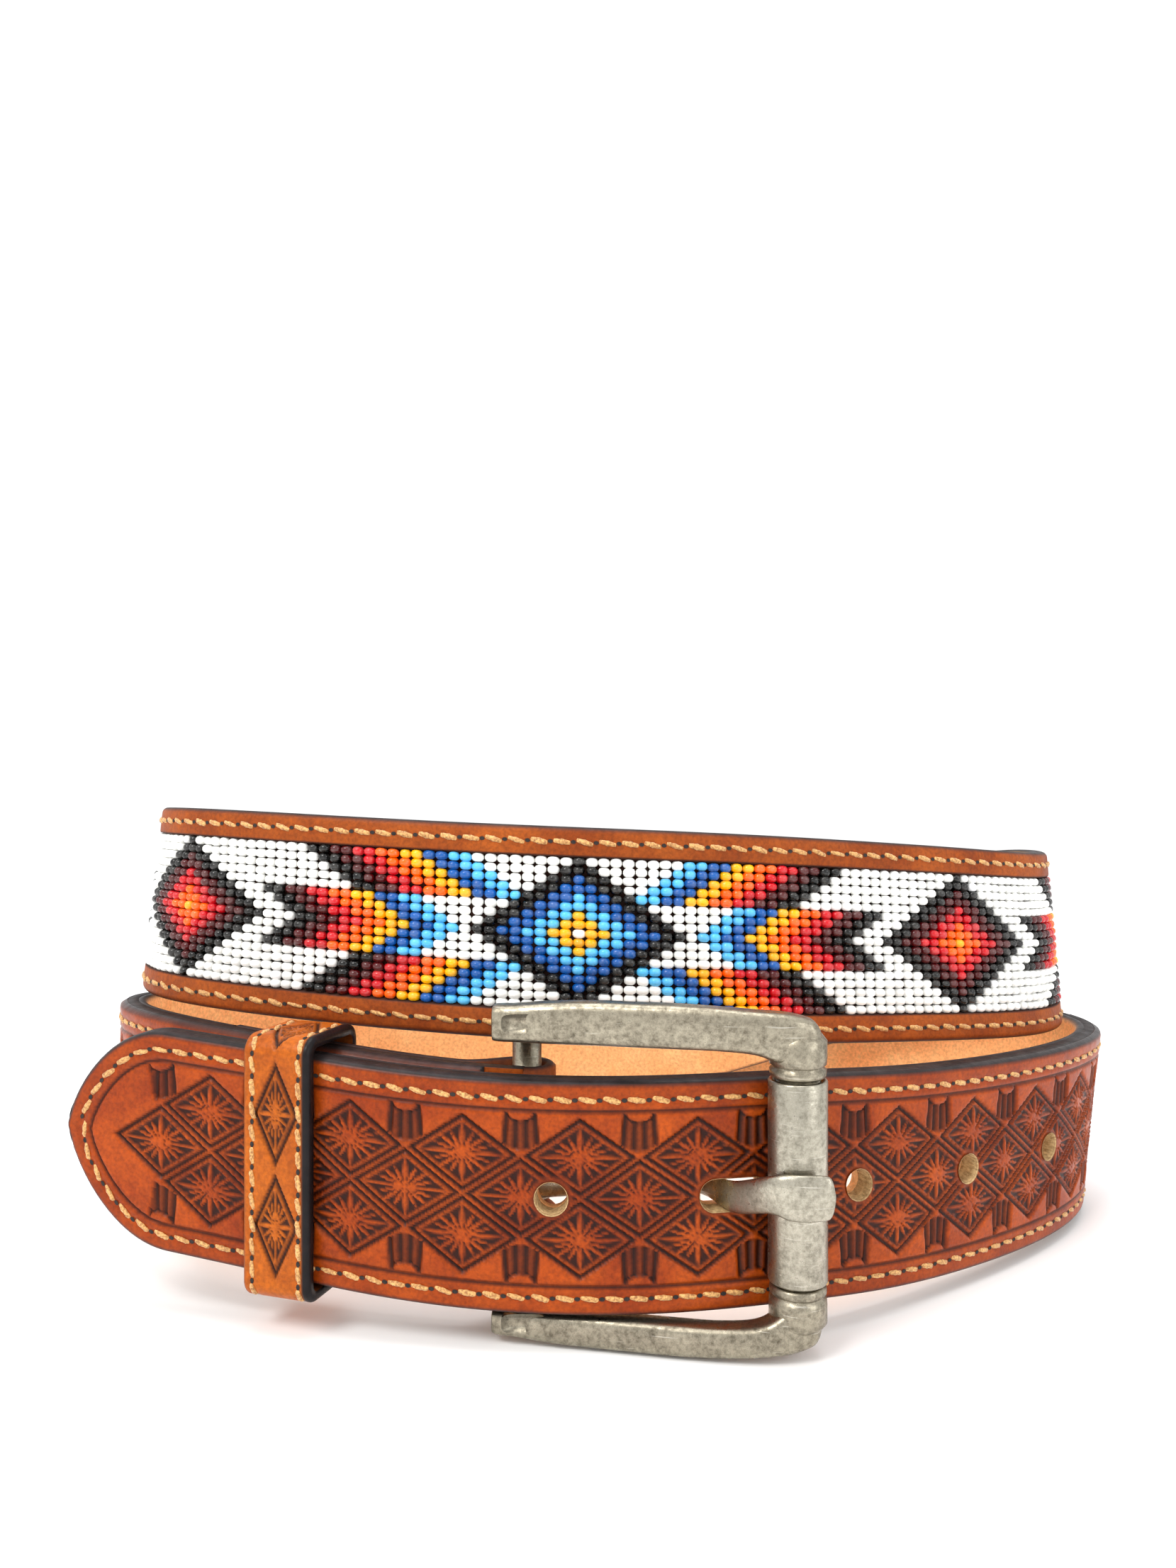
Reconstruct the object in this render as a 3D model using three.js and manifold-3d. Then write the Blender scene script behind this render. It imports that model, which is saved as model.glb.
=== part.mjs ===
// A leather belt with a beaded band, fastened and coiled in two turns, standing on its lower edge.
// Millimetres, +Z up. The buckle is in front, towards -Y, and X runs along the buckle to the right.
// The origin is on the floor, under the middle of the whole belt.
import * as THREE from 'three';
import Module from 'manifold-3d';
import { mergeVertices } from 'three/addons/utils/BufferGeometryUtils.js';

const wasm = await Module();
wasm.setup();

// Strap: three layers of leather, from the face inwards
const strapWidth = 38.1;
const overlayThickness = 1.2;
const baseThickness = 1.9;
const liningThickness = 1.6;
const layerGap = 0.3;
const turnGap = 0.45;
const edgeRound = 0.9;

// Bead band and the ends of the two tooled stretches
const bandWidth = 27.2;
const bandGap = 0.4;
const bandThickness = 1.7;
const tabLength = 64.7;
const billetTooled = 247;
const buckleTooled = 148;

// Holes and tip of the free end
const holeDiameter = 5.2;
const holeSpacing = 27;
const holesTowardsTip = 1;
const holesTowardsBuckle = 3;
const prongHoleStretch = 6.4;
const tipToFirstHole = 89.5;
const tipTaper = 20.5;

// The coil, seen from above
const coilHalfWidth = 105;
const coilFront = 62.4;
const coilBack = 63;
const heelShare = -0.179;

// Buckle
const buckleHeight = 56.4;
const heelBarRadius = 2.5;
const frontBarRadius = 3.6;
const rollerRadius = 4.8;
const rollerWall = 0.8;
const rollerLength = 32.4;
const rollerEndGap = 0.4;
const rollerToStrap = 0.4;
const neckRadius = 4.6;
const heelToFront = 44.4;
const heelToProngHole = 32;
const armDepth = 5;
const lugWidth = 7.5;
const lugHeight = 3.2;
const lugFromMiddle = 22.95;
const lugReach = 0.8;
const strapInBuckle = -3.4;
const wrapClearance = 0.6;
const turnedBackLength = 57;
const foldClosing = 12;
const slotMargin = 0.8;
const prongWidth = 7.2;
const prongThickness = 2;
const prongToRoller = 0.6;
const prongRise = 2.2;
const prongPlay = 0.4;
const prongSlotHeight = 10.4;

// Keeper
const keeperFromHeel = 39.3;
const keeperLength = 12.6;
const keeperThickness = 1.8;
const keeperClearance = 0.6;
const keeperCorner = 3.2;

// Mesh steps
const turnStep = 8.5;
const longStep = 13;
const stationGap = 1.1;
const tangentReach = 2.5;
const rowSteps = 60;
const holeSides = 12;
const barSides = 16;
const pathStep = 0.8;

// Worked out from the sizes above
const baseFace = overlayThickness + layerGap;
const baseBack = baseFace + baseThickness;
const liningFace = baseBack + layerGap;
const strapThickness = liningFace + liningThickness;
const lane = strapThickness + turnGap;
const halfStrap = strapWidth / 2;
const wrapRadius = heelBarRadius + wrapClearance;
const buckleMiddle = buckleHeight / 2;
const strapAtBuckle = buckleMiddle + strapInBuckle - halfStrap;
const inBuckle = strapAtBuckle / strapWidth;

// Outline of the coil: the smooth curve drawn by these corners, one every sixteenth of a turn.
// They run from the front middle to the left: across in half widths, out in front or back depths.
const OUTLINE = [
  { across: 0.00, out: 1.03 },
  { across: -0.35, out: 0.97 },
  { across: -0.69, out: 0.81 },
  { across: -0.97, out: 0.48 },
  { across: -1.04, out: 0.00 },
  { across: -0.95, out: -0.46 },
  { across: -0.72, out: -0.80 },
  { across: -0.38, out: -0.97 },
  { across: 0.00, out: -1.02 },
  { across: 0.36, out: -0.98 },
  { across: 0.70, out: -0.82 },
  { across: 0.95, out: -0.50 },
  { across: 1.03, out: -0.08 },
  { across: 0.87, out: 0.32 },
  { across: 0.58, out: 0.64 },
  { across: 0.28, out: 0.91 },
];

// Route of the strap round the outline: turn from the front middle, lanes inwards,
// height of the lower edge above the floor in strap widths, and outward lean in degrees.
const ROUTE = [
  { turn: -0.08, inwards: 0.0, up: inBuckle, lean: 0 },
  { turn: -0.03, inwards: 0.0, up: inBuckle, lean: 0 },
  { turn: 0.02, inwards: 0.0, up: inBuckle, lean: 0 },
  { turn: 0.06, inwards: 0.0, up: inBuckle + 0.02, lean: 0 },
  { turn: 0.11, inwards: 0.0, up: inBuckle + 0.10, lean: 0 },
  { turn: 0.17, inwards: 0.0, up: inBuckle + 0.14, lean: 0 },
  { turn: 0.24, inwards: 0.1, up: inBuckle + 0.09, lean: 0 },
  { turn: 0.31, inwards: 0.8, up: 0.12, lean: 0 },
  { turn: 0.37, inwards: 1.8, up: 0.00, lean: 0 },
  { turn: 0.43, inwards: 2.0, up: 0.00, lean: 0 },
  { turn: 0.50, inwards: 2.0, up: 0.23, lean: -1 },
  { turn: 0.57, inwards: 2.0, up: 0.58, lean: -2 },
  { turn: 0.64, inwards: 1.9, up: 0.90, lean: -3 },
  { turn: 0.70, inwards: 1.4, up: 1.04, lean: -4 },
  { turn: 0.75, inwards: 1.0, up: 1.04, lean: -5 },
  { turn: 0.80, inwards: 1.0, up: 1.04, lean: -5 },
  { turn: 0.87, inwards: 1.5, up: 1.12, lean: -4 },
  { turn: 0.94, inwards: 2.1, up: 1.19, lean: -4 },
  { turn: 1.00, inwards: 2.1, up: 1.22, lean: -4 },
  { turn: 1.06, inwards: 2.1, up: 1.25, lean: -4 },
  { turn: 1.12, inwards: 1.9, up: 1.29, lean: -4 },
  { turn: 1.18, inwards: 1.2, up: 1.32, lean: -5 },
  { turn: 1.25, inwards: 0.6, up: 1.31, lean: -7 },
  { turn: 1.31, inwards: 0.3, up: 1.28, lean: -5 },
  { turn: 1.37, inwards: 0.0, up: 1.18, lean: -3 },
  { turn: 1.43, inwards: 0.0, up: 0.93, lean: -2 },
  { turn: 1.50, inwards: 0.0, up: 0.53, lean: -1 },
  { turn: 1.57, inwards: 0.0, up: 0.18, lean: 0 },
  { turn: 1.64, inwards: 0.0, up: 0.00, lean: 1 },
  { turn: 1.70, inwards: 0.0, up: 0.00, lean: 4 },
  { turn: 1.75, inwards: 0.0, up: 0.00, lean: 6 },
  { turn: 1.80, inwards: -0.1, up: 0.02, lean: 5 },
  { turn: 1.86, inwards: -0.6, up: 0.05, lean: 3 },
  { turn: 1.91, inwards: -1.0, up: 0.10, lean: 1 },
  { turn: 1.95, inwards: -1.0, up: inBuckle, lean: 0 },
  { turn: 1.99, inwards: -1.0, up: inBuckle, lean: 0 },
  { turn: 2.03, inwards: -1.0, up: inBuckle, lean: 0 },
  { turn: 2.06, inwards: -1.0, up: inBuckle + 0.02, lean: 0 },
  { turn: 2.09, inwards: -1.0, up: inBuckle + 0.06, lean: 0 },
  { turn: 2.12, inwards: -1.0, up: inBuckle + 0.11, lean: 0 },
];

// Outline of a tab, a tooled end laid on the beads: distance from its point in tab lengths,
// and half width in half widths of the strap.
const TAB = [
  { along: 0.000, half: 0.03 },
  { along: 0.031, half: 0.16 },
  { along: 0.065, half: 0.315 },
  { along: 0.108, half: 0.467 },
  { along: 0.150, half: 0.556 },
  { along: 0.215, half: 0.62 },
  { along: 0.278, half: 0.635 },
  { along: 0.365, half: 0.614 },
  { along: 0.451, half: 0.598 },
  { along: 0.500, half: 0.61 },
  { along: 0.536, half: 0.661 },
  { along: 0.580, half: 0.751 },
  { along: 0.623, half: 0.782 },
  { along: 0.665, half: 0.751 },
  { along: 0.708, half: 0.709 },
  { along: 0.794, half: 0.685 },
  { along: 0.845, half: 0.714 },
  { along: 0.880, half: 0.782 },
  { along: 0.923, half: 0.861 },
  { along: 0.966, half: 0.955 },
  { along: 1.000, half: 1.0 },
];

// Buckle arm: across from the heel bar in heel-to-front distances, outer and inner edges
// above the middle in half buckle heights, depth in arm depths, and how far forward it stands
// from the heel bar, in shares of the way to the front bar.
const ARM = [
  { across: -0.125, outer: 0.910, inner: 0.860, depth: 0.55, forward: 0.55 },
  { across: -0.100, outer: 0.940, inner: 0.830, depth: 0.85, forward: 0.55 },
  { across: -0.030, outer: 0.970, inner: 0.820, depth: 1.00, forward: 0.58 },
  { across: 0.100, outer: 0.990, inner: 0.817, depth: 1.00, forward: 0.66 },
  { across: 0.280, outer: 1.000, inner: 0.817, depth: 1.00, forward: 0.77 },
  { across: 0.420, outer: 1.000, inner: 0.817, depth: 1.00, forward: 0.87 },
  { across: 0.560, outer: 1.000, inner: 0.817, depth: 1.00, forward: 0.97 },
  { across: 0.720, outer: 0.990, inner: 0.815, depth: 1.00, forward: 1.07 },
  { across: 0.860, outer: 0.975, inner: 0.790, depth: 1.05, forward: 1.12 },
  { across: 0.960, outer: 0.960, inner: 0.700, depth: 1.15, forward: 1.10 },
  { across: 1.040, outer: 0.925, inner: 0.680, depth: 1.15, forward: 1.06 },
  { across: 1.085, outer: 0.880, inner: 0.700, depth: 0.90, forward: 1.02 },
];

// Prong past the front bar: across and forwards from the bar in shares of the distance it
// keeps from the bar's middle, and its width in prong widths.
const PRONG_END = [
  { across: -0.77, forward: 0.74, width: 0.72 },
  { across: -0.30, forward: 0.98, width: 1.00 },
  { across: 0.35, forward: 1.01, width: 1.00 },
  { across: 0.72, forward: 0.93, width: 0.90 },
];

// Section of the prong: shares of its half width upwards and of its half thickness outwards
const PRONG_SECTION = [
  { up: 0.7, out: 1.0 },
  { up: 1.0, out: 0.2 },
  { up: 1.0, out: -1.0 },
  { up: -1.0, out: -1.0 },
  { up: -1.0, out: 0.2 },
  { up: -0.7, out: 1.0 },
];

// Section of a buckle arm, one quarter: shares of half its depth and half its height
const ARM_CORNER = [
  { deep: 1.00, high: 0.35 },
  { deep: 0.55, high: 1.00 },
];

// Helpers

function smoothRow(rows, place, closed) {
  const first = Math.floor(place);
  const t = place - first;
  const weights = [
    (1 - t) ** 3 / 6,
    (3 * t ** 3 - 6 * t ** 2 + 4) / 6,
    (-3 * t ** 3 + 3 * t ** 2 + 3 * t + 1) / 6,
    t ** 3 / 6,
  ];
  const result = {};
  for (const key of Object.keys(rows[0])) {
    result[key] = 0;
    weights.forEach((weight, k) => {
      const index = first - 1 + k;
      const wrapped = (index + 2 * rows.length) % rows.length;
      const held = Math.min(Math.max(index, 0), rows.length - 1);
      result[key] += weight * rows[closed ? wrapped : held][key];
    });
  }
  return result;
}

function outlinePoint(turn) {
  const corner = smoothRow(OUTLINE, (turn - Math.floor(turn)) * OUTLINE.length, true);
  const depth = corner.out > 0 ? coilFront : coilBack;
  return new THREE.Vector2(corner.across * coilHalfWidth, -corner.out * depth);
}

function outwards(before, after) {
  const along = after.clone().sub(before).normalize();
  return new THREE.Vector2(along.y, -along.x).negate();
}

function ease(t) {
  const held = Math.min(Math.max(t, 0), 1);
  return held * held * (3 - 2 * held);
}

// Path of the strap's face at its middle height, from the start of the route to the tip

function routePoint(place) {
  const row = smoothRow(ROUTE, place, false);
  const nudge = 0.004;
  const side = outwards(outlinePoint(row.turn - nudge), outlinePoint(row.turn + nudge));
  const flat = outlinePoint(row.turn).addScaledVector(side, -row.inwards * lane);
  const lean = THREE.MathUtils.degToRad(row.lean);
  const height = row.up * strapWidth + halfStrap * Math.cos(lean) + strapThickness * Math.sin(lean);
  return { point: new THREE.Vector3(flat.x, flat.y, height), lean };
}

function buildPath() {
  const samples = [];
  const steps = (ROUTE.length - 3) * rowSteps;
  for (let i = 0; i <= steps; i += 1) samples.push(routePoint(1 + i / rowSteps));
  let length = 0;
  samples.forEach((sample, i) => {
    if (i > 0) length += sample.point.distanceTo(samples[i - 1].point);
    sample.at = length;
  });
  return samples;
}

const samples = buildPath();

function sampleAt(at) {
  let low = 0;
  let high = samples.length - 1;
  if (at >= samples[high].at) {
    const last = samples[high];
    const before = samples[high - rowSteps / 3];
    const along = last.point.clone().sub(before.point).normalize();
    return { point: last.point.clone().addScaledVector(along, at - last.at), lean: last.lean };
  }
  while (high - low > 1) {
    const middle = (low + high) >> 1;
    if (samples[middle].at <= at) low = middle;
    else high = middle;
  }
  const t = (at - samples[low].at) / (samples[high].at - samples[low].at);
  const point = samples[low].point.clone().lerp(samples[high].point, t);
  return { point, lean: samples[low].lean * (1 - t) + samples[high].lean * t };
}

// Frame of the strap: a point on its face, along it, up its width and out of its face.
// Its face stays upright apart from the lean, so up is lengthened where the strap climbs.
function frameAt(at) {
  const { point, lean } = sampleAt(at);
  const before = sampleAt(at - tangentReach).point;
  const along = sampleAt(at + tangentReach).point.sub(before).normalize();
  const level = new THREE.Vector3(-along.y, along.x, 0).normalize();
  const out = level.clone().multiplyScalar(Math.cos(lean)).setZ(-Math.sin(lean));
  const up = level.clone().multiplyScalar(Math.sin(lean)).setZ(Math.cos(lean));
  up.divideScalar(Math.hypot(along.x, along.y));
  return { point, along, up, out };
}

function placeAt(at, height, depth) {
  const frame = frameAt(at);
  return frame.point.clone().addScaledVector(frame.up, height).addScaledVector(frame.out, -depth);
}

// Where the path passes a given X for the first or the last time
function findAcross(across, from, to) {
  let best = from;
  for (let at = from; at <= to; at += pathStep / 4) {
    const miss = Math.abs(sampleAt(at).point.x - across);
    if (miss < Math.abs(sampleAt(best).point.x - across)) best = at;
  }
  return best;
}

const routeLength = samples[samples.length - 1].at;
const heelAcross = heelShare * coilHalfWidth;
const heelAt = findAcross(heelAcross, 0, routeLength / 8);
const prongHoleAt = findAcross(heelAcross + heelToProngHole, routeLength * 0.85, routeLength);
const firstHoleAt = prongHoleAt + holesTowardsTip * holeSpacing;
const tipAt = firstHoleAt + tipToFirstHole;

const heelFrame = frameAt(heelAt);
const heelBar = placeAt(heelAt, 0, baseBack + wrapRadius);

// The front bar stands as far back as its roller and the free end let it
function frontBarDepth(across) {
  const reach = rollerRadius + rollerToStrap;
  let depth = Infinity;
  for (let at = prongHoleAt - 2 * heelToFront; at <= prongHoleAt; at += pathStep) {
    const { point } = sampleAt(at);
    const side = across - point.x;
    if (Math.abs(side) < reach) {
      depth = Math.min(depth, point.y - Math.sqrt(reach ** 2 - side ** 2));
    }
  }
  return depth;
}

const frontBarAcross = heelBar.x + heelToFront;
const frontBar = new THREE.Vector3(frontBarAcross, frontBarDepth(frontBarAcross), heelBar.z);

// Stations along the strap that every layer shares, measured from the start of the route

const billetTabAt = tipAt - billetTooled - tabLength;
const buckleTabAt = heelAt + buckleTooled + tabLength;

function makeStations() {
  const list = [heelAt, tipAt];
  let at = heelAt;
  while (at < tipAt) {
    let next = at + longStep;
    const turned = () => frameAt(at).along.angleTo(frameAt(next).along);
    while (THREE.MathUtils.radToDeg(turned()) > turnStep) next -= pathStep;
    list.push(next);
    at = next;
  }
  for (const row of TAB) {
    list.push(buckleTabAt - row.along * tabLength);
    list.push(billetTabAt + row.along * tabLength);
  }
  const sharesOfTip = [0.06, 0.18, 0.36, 0.6];
  const sharesOfFold = [0.1, 0.25, 0.45, 1];
  for (const share of sharesOfTip) list.push(tipAt - share * tipTaper);
  for (const share of sharesOfFold) list.push(heelAt + share * turnedBackLength);
  list.sort((a, b) => a - b);
  const kept = [];
  for (const value of list) {
    if (value > tipAt) break;
    if (kept.length === 0 || value - kept[kept.length - 1] > stationGap) kept.push(value);
  }
  kept[kept.length - 1] = tipAt;
  return kept;
}

const stations = makeStations();

function stationsBetween(from, to) {
  const clear = stationGap / 2;
  const inside = stations.filter((at) => at > from + clear && at < to - clear);
  return [from, ...inside, to];
}

// Half width of the strap itself, which narrows to its rounded tip
function strapHalf(at) {
  const left = Math.max(tipAt - at, 0) / tipTaper;
  if (left >= 1) return halfStrap;
  const bluntness = 0.7;
  const narrowest = 0.05;
  return halfStrap * Math.max((1 - (1 - left) ** 2) ** bluntness, narrowest);
}

function tabHalf(fromPoint) {
  const share = fromPoint / tabLength;
  if (share >= 1) return halfStrap;
  for (let i = 1; i < TAB.length; i += 1) {
    if (share <= TAB[i].along) {
      const t = (share - TAB[i - 1].along) / (TAB[i].along - TAB[i - 1].along);
      return halfStrap * (TAB[i - 1].half + t * (TAB[i].half - TAB[i - 1].half));
    }
  }
  return halfStrap;
}

// Closed bodies

function signedVolume(positions, index) {
  const corner = [new THREE.Vector3(), new THREE.Vector3(), new THREE.Vector3()];
  let volume = 0;
  for (let i = 0; i < index.length; i += 3) {
    corner.forEach((vertex, k) => vertex.fromArray(positions, index[i + k] * 3));
    volume += corner[0].dot(corner[1].cross(corner[2])) / 6;
  }
  return volume;
}

// A body through rings of points, with flat ends; every ring has the same count of points
function loft(rings) {
  const count = rings[0].length;
  const positions = rings.flat().flatMap((point) => point.toArray());
  const index = [];
  for (let ring = 0; ring < rings.length - 1; ring += 1) {
    for (let k = 0; k < count; k += 1) {
      const a = ring * count + k;
      const b = ring * count + ((k + 1) % count);
      index.push(a, b, b + count, a, b + count, a + count);
    }
  }
  const last = (rings.length - 1) * count;
  for (let k = 1; k < count - 1; k += 1) {
    index.push(0, k + 1, k);
    index.push(last, last + k, last + k + 1);
  }
  if (signedVolume(positions, index) < 0) index.reverse();
  const geometry = new THREE.BufferGeometry();
  geometry.setAttribute('position', new THREE.Float32BufferAttribute(positions, 3));
  geometry.setIndex(index);
  return geometry;
}

function toManifold(geometry) {
  const bare = geometry.clone();
  bare.deleteAttribute('normal');
  bare.deleteAttribute('uv');
  const merged = mergeVertices(bare, 1e-5);
  const mesh = new wasm.Mesh({
    numProp: 3,
    vertProperties: new Float32Array(merged.attributes.position.array),
    triVerts: new Uint32Array(merged.index.array),
  });
  return new wasm.Manifold(mesh);
}

function fromManifold(solid) {
  const mesh = solid.getMesh();
  const geometry = new THREE.BufferGeometry();
  geometry.setAttribute('position', new THREE.BufferAttribute(mesh.vertProperties, 3));
  geometry.setIndex(new THREE.BufferAttribute(mesh.triVerts, 1));
  return geometry;
}

function cut(geometry, tools) {
  const solid = tools.reduce((rest, tool) => rest.subtract(toManifold(tool)), toManifold(geometry));
  return fromManifold(solid);
}

function join(pieces) {
  const solids = pieces.map(toManifold);
  return fromManifold(solids.reduce((sum, solid) => sum.add(solid)));
}

// Corners of one half of a layer's section, from its outer edge to its inner edge
function sectionCorners(half, outer, inner, roundOuter, roundInner) {
  const most = Math.min(edgeRound, half * 0.4, (inner - outer) * 0.7);
  const start = roundOuter ? [[half - most, outer], [half, outer + most]] : [[half, outer]];
  const end = roundInner ? [[half, inner - most], [half - most, inner]] : [[half, inner]];
  return [...start, ...end];
}

// A layer of the strap: rounded on its outer or inner edges where it is the skin
function layer(list, halfAt, outer, inner, roundOuter, roundInner) {
  const rings = list.map((at) => {
    const corners = sectionCorners(halfAt(at), outer, inner, roundOuter, roundInner);
    const mirrored = corners.map(([height, depth]) => [-height, depth]).reverse();
    return [...corners, ...mirrored].map(([height, depth]) => placeAt(at, height, depth));
  });
  return loft(rings);
}

function holeCutters() {
  const length = strapThickness + turnGap;
  const cutters = [];
  for (let k = -holesTowardsBuckle; k <= holesTowardsTip; k += 1) {
    const sharesOfStretch = k === 0 ? [0, 0.5, 1] : [0];
    for (const share of sharesOfStretch) {
      const frame = frameAt(prongHoleAt + k * holeSpacing - share * prongHoleStretch);
      const middle = frame.point.clone().addScaledVector(frame.out, -strapThickness / 2);
      const up = frame.up.clone().normalize();
      const tool = new THREE.CylinderGeometry(holeDiameter / 2, holeDiameter / 2, length, holeSides);
      tool.applyMatrix4(new THREE.Matrix4().makeBasis(frame.along, frame.out, up));
      tool.translate(middle.x, middle.y, middle.z);
      cutters.push(tool);
    }
  }
  return cutters;
}

// Leather pieces

function makeBilletOverlay() {
  const list = stationsBetween(billetTabAt, tipAt);
  const half = (at) => Math.min(tabHalf(at - billetTabAt), strapHalf(at));
  return cut(layer(list, half, 0, overlayThickness, true, false), holeCutters());
}

function makeBuckleOverlay() {
  const start = heelAt + wrapRadius + baseThickness + 2 * slotMargin;
  const list = stationsBetween(start, buckleTabAt);
  const half = (at) => tabHalf(buckleTabAt - at);
  return layer(list, half, 0, overlayThickness, true, false);
}

// Four corners of the base's section between a point of its face and one of its back
function baseRing(face, back, half, up) {
  return [
    face.clone().addScaledVector(up, half),
    face.clone().addScaledVector(up, -half),
    back.clone().addScaledVector(up, -half),
    back.clone().addScaledVector(up, half),
  ];
}

// The base is folded round the heel bar and turned back behind itself
function makeBase() {
  const rings = [];
  const opening = 2 * wrapRadius - layerGap;
  for (const at of stationsBetween(heelAt, heelAt + turnedBackLength).reverse()) {
    const near = baseBack + layerGap + opening * (1 - ease((at - heelAt) / foldClosing));
    const back = placeAt(at, 0, near + baseThickness);
    rings.push(baseRing(back, placeAt(at, 0, near), halfStrap, frameAt(at).up));
  }
  const wrapSteps = 8;
  for (let k = 1; k < wrapSteps; k += 1) {
    const angle = (Math.PI * k) / wrapSteps;
    const spoke = heelFrame.out.clone().multiplyScalar(-Math.cos(angle));
    spoke.addScaledVector(heelFrame.along, -Math.sin(angle));
    const face = heelBar.clone().addScaledVector(spoke, wrapRadius + baseThickness);
    const back = heelBar.clone().addScaledVector(spoke, wrapRadius);
    rings.push(baseRing(face, back, halfStrap, heelFrame.up));
  }
  for (const at of stations) {
    const face = placeAt(at, 0, baseFace);
    rings.push(baseRing(face, placeAt(at, 0, baseBack), strapHalf(at), frameAt(at).up));
  }
  const windowStations = stationsBetween(buckleTabAt - tabLength, billetTabAt + tabLength);
  const windowHalf = () => bandWidth / 2 + bandGap;
  const windowFace = baseFace - baseThickness / 2;
  const windowBack = baseBack + baseThickness / 2;
  const window = layer(windowStations, windowHalf, windowFace, windowBack, false, false);
  const slotReach = wrapRadius + baseThickness + slotMargin;
  const slot = new THREE.BoxGeometry(2 * slotReach, 4 * slotReach, prongSlotHeight);
  slot.translate(heelBar.x, heelBar.y, heelBar.z);
  return cut(loft(rings), [window, slot, ...holeCutters()]);
}

function makeBeadBand() {
  const from = buckleTabAt - tabLength + bandGap;
  const to = billetTabAt + tabLength - bandGap;
  const face = baseBack - bandThickness;
  return layer(stationsBetween(from, to), () => bandWidth / 2, face, baseBack, false, false);
}

function makeLining() {
  const start = heelAt + turnedBackLength + turnGap;
  const list = stationsBetween(start, tipAt);
  return cut(layer(list, strapHalf, liningFace, strapThickness, false, true), holeCutters());
}

function roundedOutline(width, height, corner) {
  const x = width / 2;
  const y = height / 2;
  const shape = new THREE.Path();
  shape.moveTo(-x + corner, -y);
  shape.lineTo(x - corner, -y);
  shape.absarc(x - corner, -y + corner, corner, -Math.PI / 2, 0);
  shape.lineTo(x, y - corner);
  shape.absarc(x - corner, y - corner, corner, 0, Math.PI / 2);
  shape.lineTo(-x + corner, y);
  shape.absarc(-x + corner, y - corner, corner, Math.PI / 2, Math.PI);
  shape.lineTo(-x, -y + corner);
  shape.absarc(-x + corner, -y + corner, corner, Math.PI, Math.PI * 1.5);
  return shape;
}

// How far the free end and the strap under it reach inside the keeper, on its own axes
function reachInKeeper(origin, along, inwards) {
  const box = new THREE.Box3();
  const backs = [strapThickness, baseBack + layerGap + baseThickness];
  const turns = [[heelAt, heelAt + 2 * keeperFromHeel], [prongHoleAt, tipAt - tipTaper]];
  for (const [from, to] of turns) {
    for (let at = from; at < to; at += pathStep) {
      for (const height of [-halfStrap, halfStrap]) {
        for (const depth of [0, ...backs]) {
          const away = placeAt(at, height, depth).sub(origin);
          const inside = Math.abs(away.dot(along)) < keeperLength / 2 + keeperClearance;
          if (inside) box.expandByPoint(new THREE.Vector3(away.dot(inwards), away.z, 0));
        }
      }
    }
  }
  return box.expandByScalar(keeperClearance);
}

// The keeper stands upright
function makeKeeper() {
  const { point, along } = frameAt(heelAt + keeperFromHeel);
  const level = new THREE.Vector3(along.x, along.y, 0).normalize();
  const up = new THREE.Vector3(0, 0, 1);
  const inwards = new THREE.Vector3().crossVectors(level, up);
  const reach = reachInKeeper(point, level, inwards);
  const size = reach.getSize(new THREE.Vector3());
  const centre = reach.getCenter(new THREE.Vector3());
  const wall = 2 * keeperThickness;
  const outer = roundedOutline(size.x + wall, size.y + wall, keeperCorner);
  const shape = new THREE.Shape(outer.getPoints(3));
  shape.holes.push(roundedOutline(size.x, size.y, keeperCorner - keeperThickness));
  const geometry = new THREE.ExtrudeGeometry(shape, {
    depth: keeperLength,
    bevelEnabled: false,
    curveSegments: 3,
  });
  geometry.translate(centre.x, centre.y, -keeperLength / 2);
  geometry.applyMatrix4(new THREE.Matrix4().makeBasis(inwards, up, level.clone().negate()));
  geometry.translate(point.x, point.y, point.z);
  return geometry;
}

// Buckle

function makeArm(side) {
  const rings = ARM.map((row) => {
    const middle = ((row.outer + row.inner) / 2) * buckleMiddle;
    const half = ((row.outer - row.inner) / 2) * buckleMiddle;
    const deep = (row.depth * armDepth) / 2;
    const x = heelBar.x + row.across * heelToFront;
    const y = heelBar.y + row.forward * (frontBar.y - heelBar.y);
    const quarter = ARM_CORNER.map((corner) => [corner.deep * deep, corner.high * half]);
    const top = [...quarter, ...quarter.map(([across, high]) => [-across, high]).reverse()];
    const section = [...top, ...top.map(([across, high]) => [across, -high]).reverse()];
    return section.map(([across, high]) => {
      return new THREE.Vector3(x, y + across, buckleMiddle + side * (middle + high));
    });
  });
  return loft(rings);
}

function uprightBar(radius, height, x, y, z) {
  const bar = new THREE.CylinderGeometry(radius, radius, height, barSides);
  bar.rotateX(Math.PI / 2);
  bar.translate(x, y, z);
  return bar;
}

const neckHeight = rollerLength / 2 + rollerEndGap;

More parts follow.
